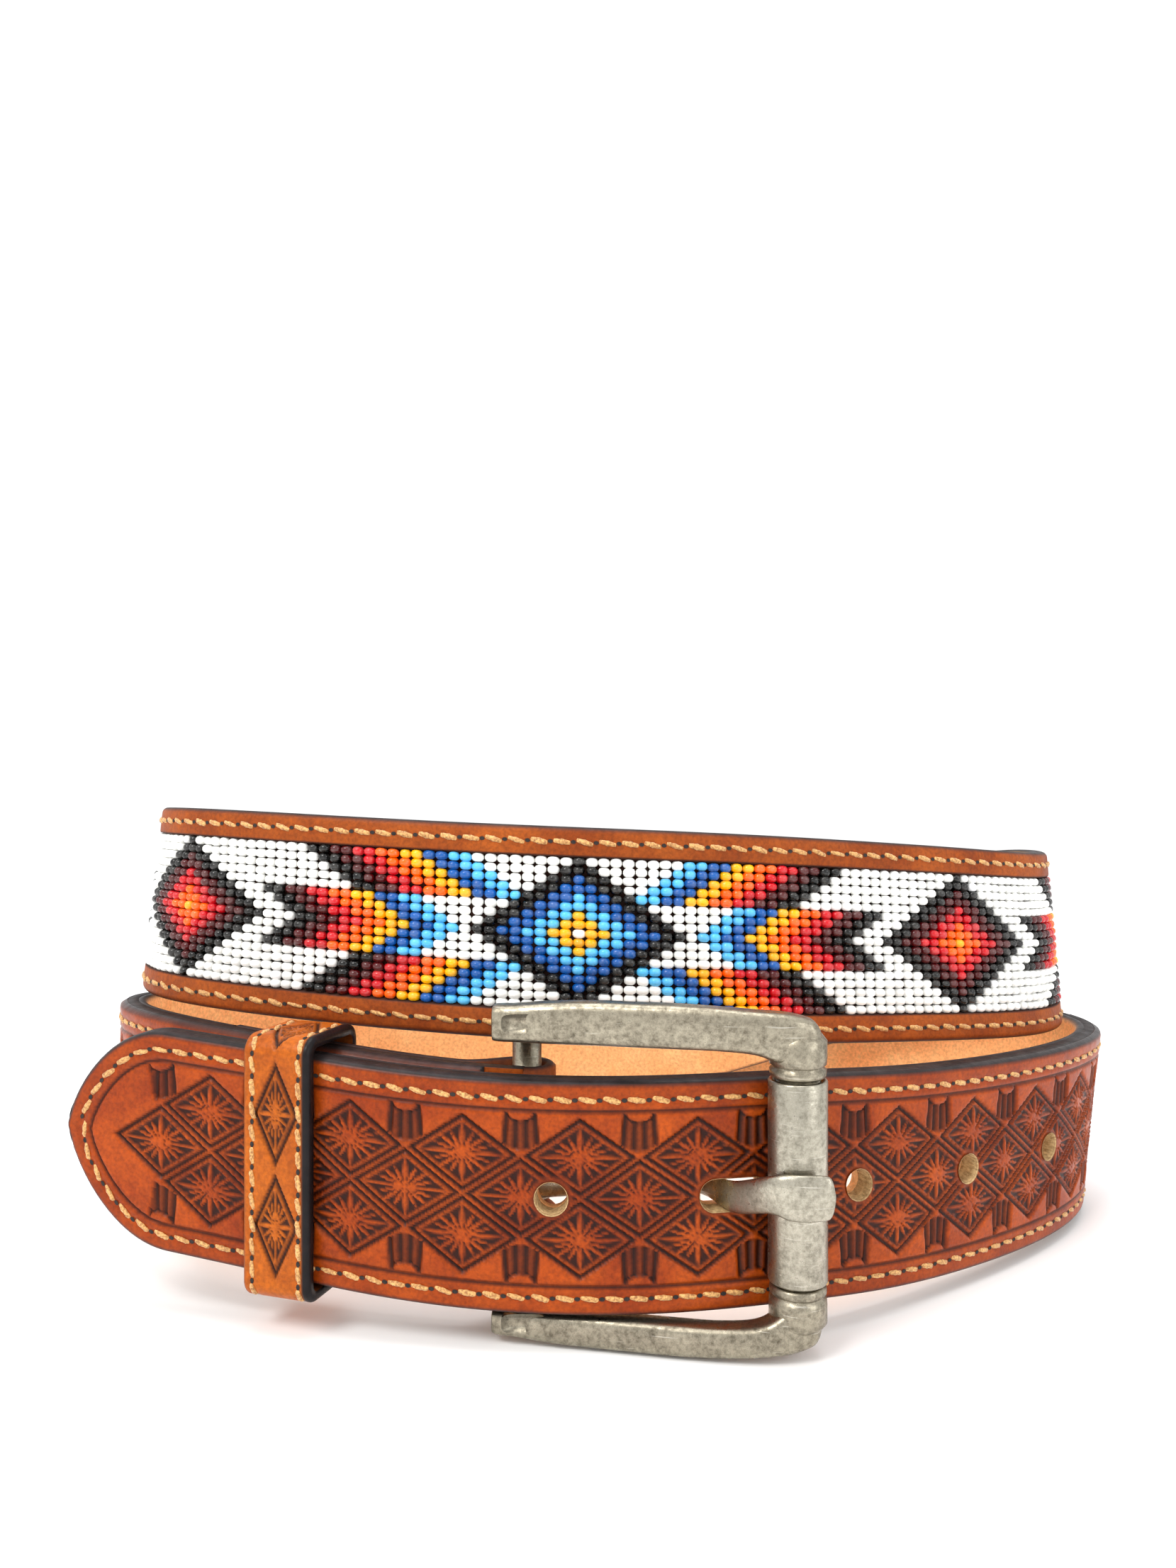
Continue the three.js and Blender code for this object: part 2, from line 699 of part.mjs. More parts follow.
function makeFrame() {
  const pieces = [makeArm(1), makeArm(-1)];
  const armInside = lugFromMiddle + lugHeight / 2;
  pieces.push(uprightBar(heelBarRadius, 2 * armInside, heelBar.x, heelBar.y, buckleMiddle));
  pieces.push(uprightBar(frontBarRadius, 2 * armInside, frontBar.x, frontBar.y, buckleMiddle));
  for (const side of [-1, 1]) {
    const neck = armInside - neckHeight;
    const neckMiddle = buckleMiddle + side * (neckHeight + neck / 2);
    pieces.push(uprightBar(neckRadius, neck, frontBar.x, frontBar.y, neckMiddle));
    const reach = lugReach * (heelBar.y - frontBar.y);
    const lug = new THREE.BoxGeometry(lugWidth, reach + heelBarRadius, lugHeight);
    const lugMiddle = buckleMiddle + side * (lugFromMiddle + lugHeight / 2);
    lug.translate(heelBar.x, heelBar.y + heelBarRadius - (reach + heelBarRadius) / 2, lugMiddle);
    pieces.push(lug);
  }
  return join(pieces);
}

function makeRoller() {
  const half = rollerLength / 2;
  const inner = rollerRadius - rollerWall;
  const profile = [
    new THREE.Vector2(inner, -half),
    new THREE.Vector2(rollerRadius, -half),
    new THREE.Vector2(rollerRadius, half),
    new THREE.Vector2(inner, half),
    new THREE.Vector2(inner, -half),
  ];
  const tube = new THREE.LatheGeometry(profile, barSides);
  tube.rotateX(Math.PI / 2);
  tube.translate(frontBar.x, frontBar.y, buckleMiddle);
  return tube;
}

// The prong lies round the heel bar, comes out through its hole and rests across the roller
function makeProng() {
  const bore = heelBarRadius + prongPlay;
  const ride = rollerRadius + prongToRoller + prongThickness / 2;
  const entry = placeAt(prongHoleAt - 0.4 * prongHoleStretch, 0, strapThickness);
  const exit = placeAt(prongHoleAt - 0.95 * prongHoleStretch, 0, 0);
  const root = heelBar.clone().setX(heelBar.x + prongPlay);
  root.y -= bore + prongThickness / 2;
  const shank = root.clone().lerp(entry, 0.5).setY(root.y).setZ(root.z);
  const neck = entry.clone().setX(entry.x - prongWidth / 2).setY(entry.y + 0.8 * prongThickness);
  const ways = [
    { point: root, width: 0.85 },
    { point: shank, width: 0.62 },
    { point: neck, width: 0.46 },
    { point: entry, width: 0.42 },
    { point: exit, width: 0.44 },
  ];
  for (const { across, forward, width } of PRONG_END) {
    const x = frontBar.x + across * ride;
    ways.push({ point: new THREE.Vector3(x, frontBar.y - forward * ride, heelBar.z + prongRise), width });
  }
  const rings = ways.map(({ point, width }, k) => {
    const before = ways[Math.max(k - 1, 0)].point;
    const after = ways[Math.min(k + 1, ways.length - 1)].point;
    const along = new THREE.Vector3(after.x - before.x, after.y - before.y, 0).normalize();
    const side = new THREE.Vector3(along.y, -along.x, 0);
    return PRONG_SECTION.map(({ up, out }) => {
      const corner = point.clone().addScaledVector(side, (out * prongThickness) / 2);
      return corner.setZ(point.z + (up * width * prongWidth) / 2);
    });
  });
  const loop = uprightBar(bore + prongThickness, prongWidth, heelBar.x, heelBar.y, heelBar.z);
  const hole = uprightBar(bore, prongWidth * 2, heelBar.x, heelBar.y, heelBar.z);
  return cut(join([loft(rings), loop]), [hole]);
}

// Materials and the assembly

function leather(color, roughness) {
  return new THREE.MeshStandardMaterial({ color, roughness, metalness: 0 });
}

function metal(color, roughness) {
  return new THREE.MeshStandardMaterial({ color, roughness, metalness: 1 });
}

const belt = new THREE.Group();

function add(name, geometry, material) {
  const mesh = new THREE.Mesh(geometry, material);
  mesh.name = name;
  belt.add(mesh);
}

add('base_strap', makeBase(), leather(0xa5552a, 0.6));
add('lining', makeLining(), leather(0xe0a477, 0.7));
add('bead_band', makeBeadBand(), leather(0xf2f2ec, 0.3));
add('billet_overlay', makeBilletOverlay(), leather(0xb04c24, 0.4));
add('buckle_overlay', makeBuckleOverlay(), leather(0xb04c24, 0.4));
add('keeper', makeKeeper(), leather(0xbe6937, 0.5));
add('buckle_frame', makeFrame(), metal(0xaaa396, 0.4));
add('buckle_roller', makeRoller(), metal(0xbab6a8, 0.35));
add('buckle_prong', makeProng(), metal(0xb4b0a4, 0.35));

// The origin goes under the middle of the whole belt
const bounds = new THREE.Box3().setFromObject(belt);
const middle = bounds.getCenter(new THREE.Vector3());
belt.position.set(-middle.x, -middle.y, -bounds.min.z);
belt.updateMatrixWorld(true);

export default belt;
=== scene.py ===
# Looks of the beaded belt: leather, beads, stitches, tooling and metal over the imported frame.
# Lengths are in millimetres until a mesh is made; meshes are in metres, in the row frame.
import math

import bpy
import numpy as np
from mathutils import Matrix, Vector


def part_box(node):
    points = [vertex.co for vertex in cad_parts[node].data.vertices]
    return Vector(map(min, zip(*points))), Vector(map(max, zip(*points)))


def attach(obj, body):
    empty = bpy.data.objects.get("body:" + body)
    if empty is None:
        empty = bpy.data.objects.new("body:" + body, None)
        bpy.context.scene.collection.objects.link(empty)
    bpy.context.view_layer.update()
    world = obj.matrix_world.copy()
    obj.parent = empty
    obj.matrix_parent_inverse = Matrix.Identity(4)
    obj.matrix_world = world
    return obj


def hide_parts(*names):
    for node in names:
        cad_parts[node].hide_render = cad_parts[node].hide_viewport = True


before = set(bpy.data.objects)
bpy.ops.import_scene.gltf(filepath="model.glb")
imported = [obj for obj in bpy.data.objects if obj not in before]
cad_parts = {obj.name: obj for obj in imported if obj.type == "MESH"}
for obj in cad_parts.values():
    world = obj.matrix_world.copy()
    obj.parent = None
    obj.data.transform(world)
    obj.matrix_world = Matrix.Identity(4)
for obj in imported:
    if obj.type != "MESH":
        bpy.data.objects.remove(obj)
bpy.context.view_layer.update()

rng = np.random.default_rng(7)

# Sizes shared with the CAD source
STRAP = 38.1
HALF = STRAP / 2
OVERLAY, BASE, LINING, LAYER_GAP, TURN_GAP = 1.2, 1.9, 1.6, 0.3, 0.45
BASE_FACE = OVERLAY + LAYER_GAP
BASE_BACK = BASE_FACE + BASE
THICK = BASE_BACK + LAYER_GAP + LINING
LANE = THICK + TURN_GAP
BAND = 27.2
TAB_LENGTH, BILLET, BUCKLE_END = 64.7, 247.0, 148.0
HOLE, HOLE_SPACING, PRONG_STRETCH = 5.2, 27.0, 6.4
TIP_TO_HOLE, TAPER = 89.5, 20.5
COIL, FRONT, BACK = 105.0, 62.4, 63.0
HEEL_SHARE, HEEL_TO_HOLE, HEEL_TO_FRONT = -0.179, 32.0, 44.4
BUCKLE = 56.4
MID = BUCKLE / 2
HEEL_BAR, FRONT_BAR, ROLLER, ROLLER_LENGTH, NECK = 2.5, 3.6, 4.8, 32.4, 4.6
WRAP = HEEL_BAR + 0.6
FOLD = 57.0
IN_BUCKLE = (MID - 3.4 - HALF) / STRAP
SHIFT = np.array([-0.4601, 6.7467, 0.0])
STEPS_A_ROW, TAIL_STEPS = 60, 260

# Outline of the coil: one corner of its smooth curve every sixteenth of a turn, from the front
# middle to the left, across in half widths, out in front or back depths
OUTLINE = np.array([
    (0.00, 1.03), (-0.35, 0.97), (-0.69, 0.81), (-0.97, 0.48), (-1.04, 0.00), (-0.95, -0.46),
    (-0.72, -0.80), (-0.38, -0.97), (0.00, -1.02), (0.36, -0.98), (0.70, -0.82), (0.95, -0.50),
    (1.03, -0.08), (0.87, 0.32), (0.58, 0.64), (0.28, 0.91),
])
B = IN_BUCKLE
# Route of the strap: turn from the front middle, lanes inwards, height of the lower edge above
# the floor in strap widths, outward lean in degrees
ROUTE = np.array([
    (-0.08, 0.0, B, 0), (-0.03, 0.0, B, 0), (0.02, 0.0, B, 0), (0.06, 0.0, B + 0.02, 0),
    (0.11, 0.0, B + 0.10, 0), (0.17, 0.0, B + 0.14, 0), (0.24, 0.1, B + 0.09, 0),
    (0.31, 0.8, 0.12, 0), (0.37, 1.8, 0.00, 0), (0.43, 2.0, 0.00, 0), (0.50, 2.0, 0.23, -1),
    (0.57, 2.0, 0.58, -2), (0.64, 1.9, 0.90, -3), (0.70, 1.4, 1.04, -4), (0.75, 1.0, 1.04, -5),
    (0.80, 1.0, 1.04, -5), (0.87, 1.5, 1.12, -4), (0.94, 2.1, 1.19, -4), (1.00, 2.1, 1.22, -4),
    (1.06, 2.1, 1.25, -4), (1.12, 1.9, 1.29, -4), (1.18, 1.2, 1.32, -5), (1.25, 0.6, 1.31, -7),
    (1.31, 0.3, 1.28, -5), (1.37, 0.0, 1.18, -3), (1.43, 0.0, 0.93, -2), (1.50, 0.0, 0.53, -1),
    (1.57, 0.0, 0.18, 0), (1.64, 0.0, 0.00, 1), (1.70, 0.0, 0.00, 4), (1.75, 0.0, 0.00, 6),
    (1.80, -0.1, 0.02, 5), (1.86, -0.6, 0.05, 3), (1.91, -1.0, 0.10, 1), (1.95, -1.0, B, 0),
    (1.99, -1.0, B, 0), (2.03, -1.0, B, 0), (2.06, -1.0, B + 0.02, 0), (2.09, -1.0, B + 0.06, 0),
    (2.12, -1.0, B + 0.11, 0),
])
# Tab: distance from its point in tab lengths, and half width in half widths of the strap
TAB = np.array([
    (0.000, 0.03), (0.031, 0.16), (0.065, 0.315), (0.108, 0.467), (0.150, 0.556), (0.215, 0.62),
    (0.278, 0.635), (0.365, 0.614), (0.451, 0.598), (0.500, 0.61), (0.536, 0.661), (0.580, 0.751),
    (0.623, 0.782), (0.665, 0.751), (0.708, 0.709), (0.794, 0.685), (0.845, 0.714), (0.880, 0.782),
    (0.923, 0.861), (0.966, 0.955), (1.000, 1.0),
])
# Buckle arm: across from the heel bar in heel-to-front distances, outer and inner edge above the
# middle in half buckle heights, depth in arm depths, and how far forward of the heel bar it
# stands, in shares of the way to the front bar; the first rows are blunter than the CAD's
ARM = np.array([
    (-0.125, 0.950, 0.830, 0.75, 0.55), (-0.100, 0.965, 0.822, 0.92, 0.55),
    (-0.030, 0.970, 0.820, 1.00, 0.58), (0.100, 0.990, 0.817, 1.00, 0.66),
    (0.280, 1.000, 0.817, 1.00, 0.77), (0.420, 1.000, 0.817, 1.00, 0.87),
    (0.560, 1.000, 0.817, 1.00, 0.97), (0.720, 0.990, 0.815, 1.00, 1.07),
    (0.860, 0.975, 0.790, 1.05, 1.12), (0.960, 0.960, 0.700, 1.15, 1.10),
    (1.040, 0.925, 0.680, 1.15, 1.06), (1.085, 0.880, 0.700, 0.90, 1.02),
])


# The strap's path, as in the CAD source

def spline(rows, place, closed):
    """Points of a uniform cubic curve drawn by the rows."""
    place = np.asarray(place, float)
    first = np.floor(place).astype(int)
    t = place - first
    w = [(1 - t) ** 3 / 6, (3 * t**3 - 6 * t**2 + 4) / 6,
         (-3 * t**3 + 3 * t**2 + 3 * t + 1) / 6, t**3 / 6]
    out = 0
    for k in range(4):
        i = first - 1 + k
        i = i % len(rows) if closed else np.clip(i, 0, len(rows) - 1)
        out = out + w[k][:, None] * rows[i]
    return out


def circle(sides):
    return np.linspace(0, 2 * math.pi, sides, endpoint=False)


def lengths(rows):
    """Distances of the points of a line from its first, along it."""
    return np.concatenate([[0], np.cumsum(np.linalg.norm(np.diff(rows, axis=0), axis=1))])


def unit(rows):
    return rows / np.maximum(np.linalg.norm(rows, axis=1), 1e-9)[:, None]


def outline(turn):
    """Level points of the coil's outline."""
    c = spline(OUTLINE, (turn % 1) * len(OUTLINE), True)
    return np.stack([c[:, 0] * COIL, -c[:, 1] * np.where(c[:, 1] > 0, FRONT, BACK)], 1)


place = 1 + np.arange((len(ROUTE) - 3) * STEPS_A_ROW + 1) / STEPS_A_ROW
row = spline(ROUTE, place, False)
ahead = unit(outline(row[:, 0] + 0.004) - outline(row[:, 0] - 0.004))
side = np.stack([-ahead[:, 1], ahead[:, 0]], 1)
flat = outline(row[:, 0]) - side * row[:, 1:2] * LANE
lean_rad = np.radians(row[:, 3])
rise = row[:, 2] * STRAP + HALF * np.cos(lean_rad) + THICK * np.sin(lean_rad)
path = np.column_stack([flat, rise])
tail = path[-1] - path[-21]
tail /= np.linalg.norm(tail)
path = np.vstack([path, path[-1] + tail * np.arange(1, TAIL_STEPS)[:, None]])
lean_rad = np.concatenate([lean_rad, np.full(TAIL_STEPS - 1, lean_rad[-1])])
gone = lengths(path)
ROUTE_LENGTH = gone[-TAIL_STEPS]


def point(at):
    return np.stack([np.interp(at, gone, path[:, k]) for k in range(3)], -1)


fine = np.arange(0, gone[-1] - 3, 0.5)
along = unit(point(fine + 2.5) - point(fine - 2.5))
level = unit(np.stack([-along[:, 1], along[:, 0], 0 * fine], 1))
lean = np.interp(fine, gone, lean_rad)
outs = level * np.cos(lean)[:, None]
outs[:, 2] = -np.sin(lean)
ups = level * np.sin(lean)[:, None]
ups[:, 2] = np.cos(lean)
ups /= np.hypot(along[:, 0], along[:, 1])[:, None]


def vector(table, at):
    return np.stack([np.interp(at, fine, table[:, k]) for k in range(3)], -1)


def spot(at, height, depth):
    """Points of the strap: distance along it, height from its middle, depth behind its face."""
    at, height, depth = np.broadcast_arrays(at, height, depth)
    flat_at = at.ravel()
    p = point(flat_at) + vector(ups, flat_at) * height.ravel()[:, None]
    p -= vector(outs, flat_at) * depth.ravel()[:, None]
    return p.reshape(at.shape + (3,))


def across_at(x, start, end):
    """Distance along the strap, between start and end, at which it is across at x."""
    at = np.arange(start, end, 0.2)
    return at[np.argmin(np.abs(point(at)[:, 0] - x))]


HEEL_AT = across_at(HEEL_SHARE * COIL, 0, ROUTE_LENGTH / 8)
PRONG_AT = across_at(HEEL_SHARE * COIL + HEEL_TO_HOLE, ROUTE_LENGTH * 0.85, ROUTE_LENGTH)
TIP_AT = PRONG_AT + HOLE_SPACING + TIP_TO_HOLE
BILLET_TAB = TIP_AT - BILLET - TAB_LENGTH
BUCKLE_TAB = HEEL_AT + BUCKLE_END + TAB_LENGTH
heel_bar = spot(HEEL_AT, 0.0, BASE_BACK + WRAP)
near = np.arange(PRONG_AT - 2 * HEEL_TO_FRONT, PRONG_AT, 0.8)
reach = ROLLER + 0.4
face = point(near)
gap = heel_bar[0] + HEEL_TO_FRONT - face[:, 0]
close = np.abs(gap) < reach
front_y = np.min(face[close, 1] - np.sqrt(reach**2 - gap[close] ** 2))
front_bar = np.array([heel_bar[0] + HEEL_TO_FRONT, front_y, heel_bar[2]])


def strap_half(at):
    """Half width of the strap, narrower at its tip."""
    left = np.clip((TIP_AT - np.asarray(at, float)) / TAPER, 0, 1)
    return HALF * np.maximum((1 - (1 - left) ** 2) ** 0.7, 0.02)


def tab_half(gone_in):
    """Half width of a tab at a distance from its point."""
    share = np.clip(np.asarray(gone_in, float) / TAB_LENGTH, 0, 1)
    return HALF * np.interp(share, TAB[:, 0], TAB[:, 1])


# Meshes

def make(name, verts, faces, attrs=None, mm=True):
    """A mesh object from arrays; faces is a list of index arrays with 3 or 4 columns."""
    verts = np.asarray(verts, float).reshape(-1, 3)
    if mm:
        verts = (verts + SHIFT) / 1000
    me = bpy.data.meshes.new(name)
    faces = [np.asarray(f, np.int32) for f in faces if len(f)]
    loops = np.concatenate([f.ravel() for f in faces])
    sizes = np.concatenate([np.full(len(f), f.shape[1], np.int32) for f in faces])
    me.vertices.add(len(verts))
    me.vertices.foreach_set("co", verts.ravel())
    me.loops.add(len(loops))
    me.loops.foreach_set("vertex_index", loops)
    me.polygons.add(len(sizes))
    me.polygons.foreach_set("loop_start", (np.cumsum(sizes) - sizes).astype(np.int32))
    me.polygons.foreach_set("loop_total", sizes)
    me.polygons.foreach_set("use_smooth", np.ones(len(sizes), bool))
    me.update(calc_edges=True)
    for key, value in (attrs or {}).items():
        value = np.asarray(value, float)
        kind, key_in = ("FLOAT", "value") if value.ndim == 1 else ("FLOAT_VECTOR", "vector")
        me.attributes.new(key, kind, "POINT").data.foreach_set(key_in, value.ravel())
    obj = bpy.data.objects.new(name, me)
    bpy.context.scene.collection.objects.link(obj)
    return obj


def grid_faces(rows, cols, wrap_cols=False, wrap_rows=False):
    i = np.arange(rows if wrap_rows else rows - 1)
    j = np.arange(cols if wrap_cols else cols - 1)
    i, j = np.meshgrid(i, j, indexing="ij")
    i, j = i.ravel(), j.ravel()
    i2, j2 = (i + 1) % rows, (j + 1) % cols
    return np.stack([i * cols + j, i * cols + j2, i2 * cols + j2, i2 * cols + j], 1)


def caps(n, m):
    """Triangles that close both ends of n rings of m points."""
    near = np.arange(m)
    far = near[::-1] + (n - 1) * m
    return np.concatenate([np.stack([np.full(m - 2, i[0]), i[1:-1], i[2:]], 1) for i in (near, far)])


def loft(name, rings, **attrs):
    """A closed body through rings of points, facing outwards, with its shares of edge and dark."""
    n, m = rings.shape[:2]
    attrs = {key: np.broadcast_to(value, (n, m)).ravel() for key, value in attrs.items()}
    obj = make(name, rings, [grid_faces(n, m, wrap_cols=True), caps(n, m)], attrs)
    me = obj.data
    co = np.empty(n * m * 3)
    me.vertices.foreach_get("co", co)
    me.calc_loop_triangles()
    t = np.empty(len(me.loop_triangles) * 3, np.int32)
    me.loop_triangles.foreach_get("vertices", t)
    a, b, c = co.reshape(-1, 3)[t].reshape(-1, 3, 3).transpose(1, 0, 2)
    if np.einsum("ij,ij->i", a, np.cross(b, c)).sum() < 0:
        me.flip_normals()
    return obj


# Materials

class Web:
    """A material with a principled surface, and short ways to add nodes to it."""

    def __init__(self, name):
        self.material = bpy.data.materials.new(name)
        self.material.use_nodes = True
        self.nodes, self.links = self.material.node_tree.nodes, self.material.node_tree.links
        self.nodes.clear()
        self.bsdf = self.nodes.new("ShaderNodeBsdfPrincipled")
        self.links.new(self.bsdf.outputs[0], self.nodes.new("ShaderNodeOutputMaterial").inputs[0])
        self.coord = self.nodes.new("ShaderNodeTexCoord").outputs["Object"]

    def surface(self, **inputs):
        """Sets the surface's inputs, named with _ for a space, and gives the material."""
        for key, value in inputs.items():
            self.put(self.bsdf.inputs[key.replace("_", " ")], value)
        return self.material

    def put(self, socket, value):
        if hasattr(value, "is_output"):
            self.links.new(value, socket)
        else:
            socket.default_value = value

    def attribute(self, name, out="Fac"):
        n = self.nodes.new("ShaderNodeAttribute")
        n.attribute_name = name
        return n.outputs[out]

    def noise(self, scale, detail=4.0, rough=0.6, stretch=None):
        n = self.nodes.new("ShaderNodeTexNoise")
        n.inputs["Scale"].default_value = scale
        n.inputs["Detail"].default_value = detail
        n.inputs["Roughness"].default_value = rough
        source = self.coord
        if stretch:
            v = self.nodes.new("ShaderNodeVectorMath")
            v.operation = "MULTIPLY"
            self.put(v.inputs[0], source)
            v.inputs[1].default_value = stretch
            source = v.outputs[0]
        self.put(n.inputs["Vector"], source)
        return n.outputs["Fac"]

    def math(self, op, a, b=0.0, clamp=False):
        n = self.nodes.new("ShaderNodeMath")
        n.operation = op
        n.use_clamp = clamp
        self.put(n.inputs[0], a)
        self.put(n.inputs[1], b)
        return n.outputs[0]

    def span(self, value, a, b, low=0.0, high=1.0):
        n = self.nodes.new("ShaderNodeMapRange")
        self.put(n.inputs["Value"], value)
        for key, v in (("From Min", a), ("From Max", b), ("To Min", low), ("To Max", high)):
            self.put(n.inputs[key], v)
        return n.outputs[0]

    def mix(self, fac, a, b):
        n = self.nodes.new("ShaderNodeMix")
        n.data_type = "RGBA"
        for socket, value in ((0, fac), (6, a), (7, b)):
            self.put(n.inputs[socket], value)
        return n.outputs[2]

    def bump(self, height, strength, distance):
        n = self.nodes.new("ShaderNodeBump")
        n.inputs["Strength"].default_value = strength
        n.inputs["Distance"].default_value = distance
        self.put(n.inputs["Height"], height)
        return n.outputs[0]


def rgb(r, g, b, times=1):
    """Shader colour of a screen colour of 0 to 255, made lighter or darker."""
    def linear(c):
        c = min(255, c * times) / 255
        return c / 12.92 if c <= 0.04045 else ((c + 0.055) / 1.055) ** 2.4
    return (linear(r), linear(g), linear(b), 1.0)


def leather(name, light, deep, gloss, coat, dark=(48, 30, 26), grain=0.25, edge=(34, 29, 29)):
    """Leather darkened by the attribute dark, which is dye in tooled recesses and painted shade under the
    beads, round the holes and inside the keeper, with its burnished rim from edge.
    """
    w = Web(name)
    cloud = w.noise(90, 5, 0.6)
    pores = w.noise(1500, 3, 0.6)
    streak = w.noise(420, 4, 0.65)
    tone = w.span(cloud, 0.35, 0.65)
    colour = w.mix(tone, rgb(*deep), rgb(*light))
    colour = w.mix(w.span(pores, 0.35, 0.62, 0.35, 0.0), colour, rgb(*deep, 0.45))
    colour = w.mix(w.span(streak, 0.55, 0.75, 0.0, 0.25), colour, rgb(*light, 1.25))
    shade = w.attribute("dark")
    # Mix towards the dark colour: dye in tooled recesses, painted shade under the beads, round the holes
    # and inside the keeper
    dye_and_shade = w.math("MULTIPLY", shade, w.span(streak, 0.2, 0.7, 1.0, 0.93), True)
    colour = w.mix(dye_and_shade, colour, rgb(*dark))
    edge_tone = w.mix(w.span(w.noise(300, 4), 0.4, 0.7), rgb(*edge), rgb(*edge, 1.5))
    colour = w.mix(w.attribute("edge"), colour, edge_tone)
    rough = w.span(streak, 0.3, 0.7, gloss - 0.06, gloss + 0.12)
    rough = w.math("ADD", rough, w.math("MULTIPLY", shade, 0.12))
    height = w.math("ADD", w.math("MULTIPLY", pores, 0.6), w.math("MULTIPLY", streak, 0.5))
    return w.surface(Base_Color=colour, Roughness=rough, Normal=w.bump(height, grain, 0.0003),
                     Coat_Weight=coat, Coat_Roughness=0.28, Specular_IOR_Level=0.15)


def beads_material():
    w = Web("glass seed beads")
    haze = w.noise(700, 2, 0.5)
    dusty = w.mix(w.span(haze, 0.4, 0.7, 0.0, 0.10), w.attribute("tint", "Vector"), (0.5, 0.48, 0.45, 1))
    return w.surface(Base_Color=dusty, Roughness=w.span(haze, 0.3, 0.7, 0.14, 0.26),
                     Normal=w.bump(haze, 0.08, 0.0002), Coat_Weight=0.3, Coat_Roughness=0.08,
                     Specular_IOR_Level=0.3)


def fibrous(name, noise, span, tones, rough, bump, sheen=0.0):
    """A matte material of two tones mixed by one noise."""
    w = Web(name)
    fibre = w.noise(*noise)
    colour = w.mix(w.span(fibre, *span), *(rgb(*tone) for tone in tones))
    return w.surface(Base_Color=colour, Roughness=rough, Normal=w.bump(fibre, *bump), Sheen_Weight=sheen)


def metal(name, light, deep, rough):
    """Worn metal with specks and scratches."""
    w = Web(name)
    cloud = w.noise(160, 6, 0.7)
    speck = w.noise(900, 5, 0.75)
    brushed = w.noise(260, 4, 0.6, stretch=(1.0, 1.0, 9.0))
    scratch = w.noise(500, 3, 0.5, stretch=(0.25, 0.25, 6.0))
    both = w.math("ADD", w.math("MULTIPLY", cloud, 0.3), w.math("MULTIPLY", speck, 0.7))
    colour = w.mix(w.span(both, 0.34, 0.62), rgb(*deep), rgb(*light))
    colour = w.mix(w.span(speck, 0.62, 0.70, 0.0, 0.55), colour, rgb(70, 66, 60))
    colour = w.mix(w.span(scratch, 0.66, 0.72, 0.0, 0.5), colour, rgb(225, 220, 208))
    rough = w.span(both, 0.38, 0.62, rough + 0.16, rough - 0.08)
    height = w.math("ADD", w.math("MULTIPLY", speck, 0.5), w.math("MULTIPLY", brushed, 0.5))
    return w.surface(Base_Color=colour, Roughness=rough, Normal=w.bump(height, 0.22, 0.0004), Metallic=1.0)


# The border's dark colour is used only for painted shade in the bed under the beads
BORDER = leather("brown border leather", (164, 80, 24), (134, 58, 14), 0.5, 0.0, grain=0.35)
TOOLED = leather("tooled leather", (176, 74, 12), (140, 50, 6), 0.34, 0.04, dark=(24, 11, 9))
KEEPER = leather(
    "keeper leather", (190, 98, 20), (160, 74, 12), 0.36, 0.04, dark=(26, 14, 12), edge=(18, 15, 16))
TAN = leather("lining leather", (255, 198, 138), (250, 182, 120), 0.5, 0.05, grain=0.2)
BEADS = beads_material()
THREAD = fibrous("waxed thread", (2600, 3, 0.6), (0.35, 0.65), [(150, 98, 48), (226, 176, 106)],
                 0.6, (0.4, 0.0001), sheen=0.2)
# Near-black colour of the stitch holes: painted shade in the holes, not a material of the belt
HOLE_SHADE = fibrous("painted stitch-hole shade", (1800, 3, 0.6), (0.3, 0.7), [(18, 14, 13), (46, 36, 32)],
               0.85, (0.3, 0.0002))
RAW = fibrous("raw cut leather", (900, 5, 0.7, (1.0, 1.0, 2.5)), (0.3, 0.7),
              [(128, 98, 58), (218, 186, 134)], 0.9, (0.6, 0.0004))
NICKEL = metal("antique nickel", (172, 164, 145), (96, 89, 76), 0.34)
NICKEL_ROLLER = metal("antique nickel, polished by use", (190, 184, 168), (124, 119, 106), 0.30)


def finish_piece(obj, material, body="belt", replaces=()):
    obj.data.materials.append(material)
    if replaces:
        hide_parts(*replaces)
    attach(obj, body)
    return obj


# Strap layers

# Depths of the bed under the beads, of its lip and of the seam behind the base
BED, BED_LIP, SEAM = 3.2, 1.62, BASE_BACK + 0.13
# Fold: length over which it closes on the strap, its slot's half width, and where the slot ends
FOLD_CLOSING, FOLD_SLOT, FOLD_BRIDGE = 12, 5.2, 14.0
# Raw walls of the holes: depths and what they add to the radius
WALL_RINGS = [(-0.02, 0.22), (0.28, 0.02), (1.2, -0.02), (3.5, 0.0), (5.32, 0.04), (5.34, 0.3)]


def hole_places():
    """Places and stretches of the holes; the prong stretches the one in use."""
    round_holes = [(PRONG_AT + k * HOLE_SPACING, 0.0) for k in (-3, -2, -1, 1)]
    return round_holes + [(PRONG_AT - PRONG_STRETCH, PRONG_STRETCH)]


def hole_ring(at, stretch, radius, sides=28):
    a = circle(sides)
    x = radius * np.cos(a)
    x = np.where(x > 0, x + stretch, x)
    return at + x, radius * np.sin(a)


def hole_tubes(name, levels, capped):
    """A tube through every hole, by the depths of its rings and what they add to the radius."""
    verts, quads, tris, start = [], [], [], 0
    for at, stretch in hole_places():
        rings = np.stack([spot(*hole_ring(at, stretch, HOLE / 2 + r), d) for d, r in levels])
        n, m = rings.shape[:2]
        verts.append(rings.reshape(-1, 3))
        quads.append(grid_faces(n, m, wrap_cols=True) + start)
        tris += [caps(n, m) + start] if capped else []
        start += n * m
    return make(name, np.concatenate(verts), quads + tris)


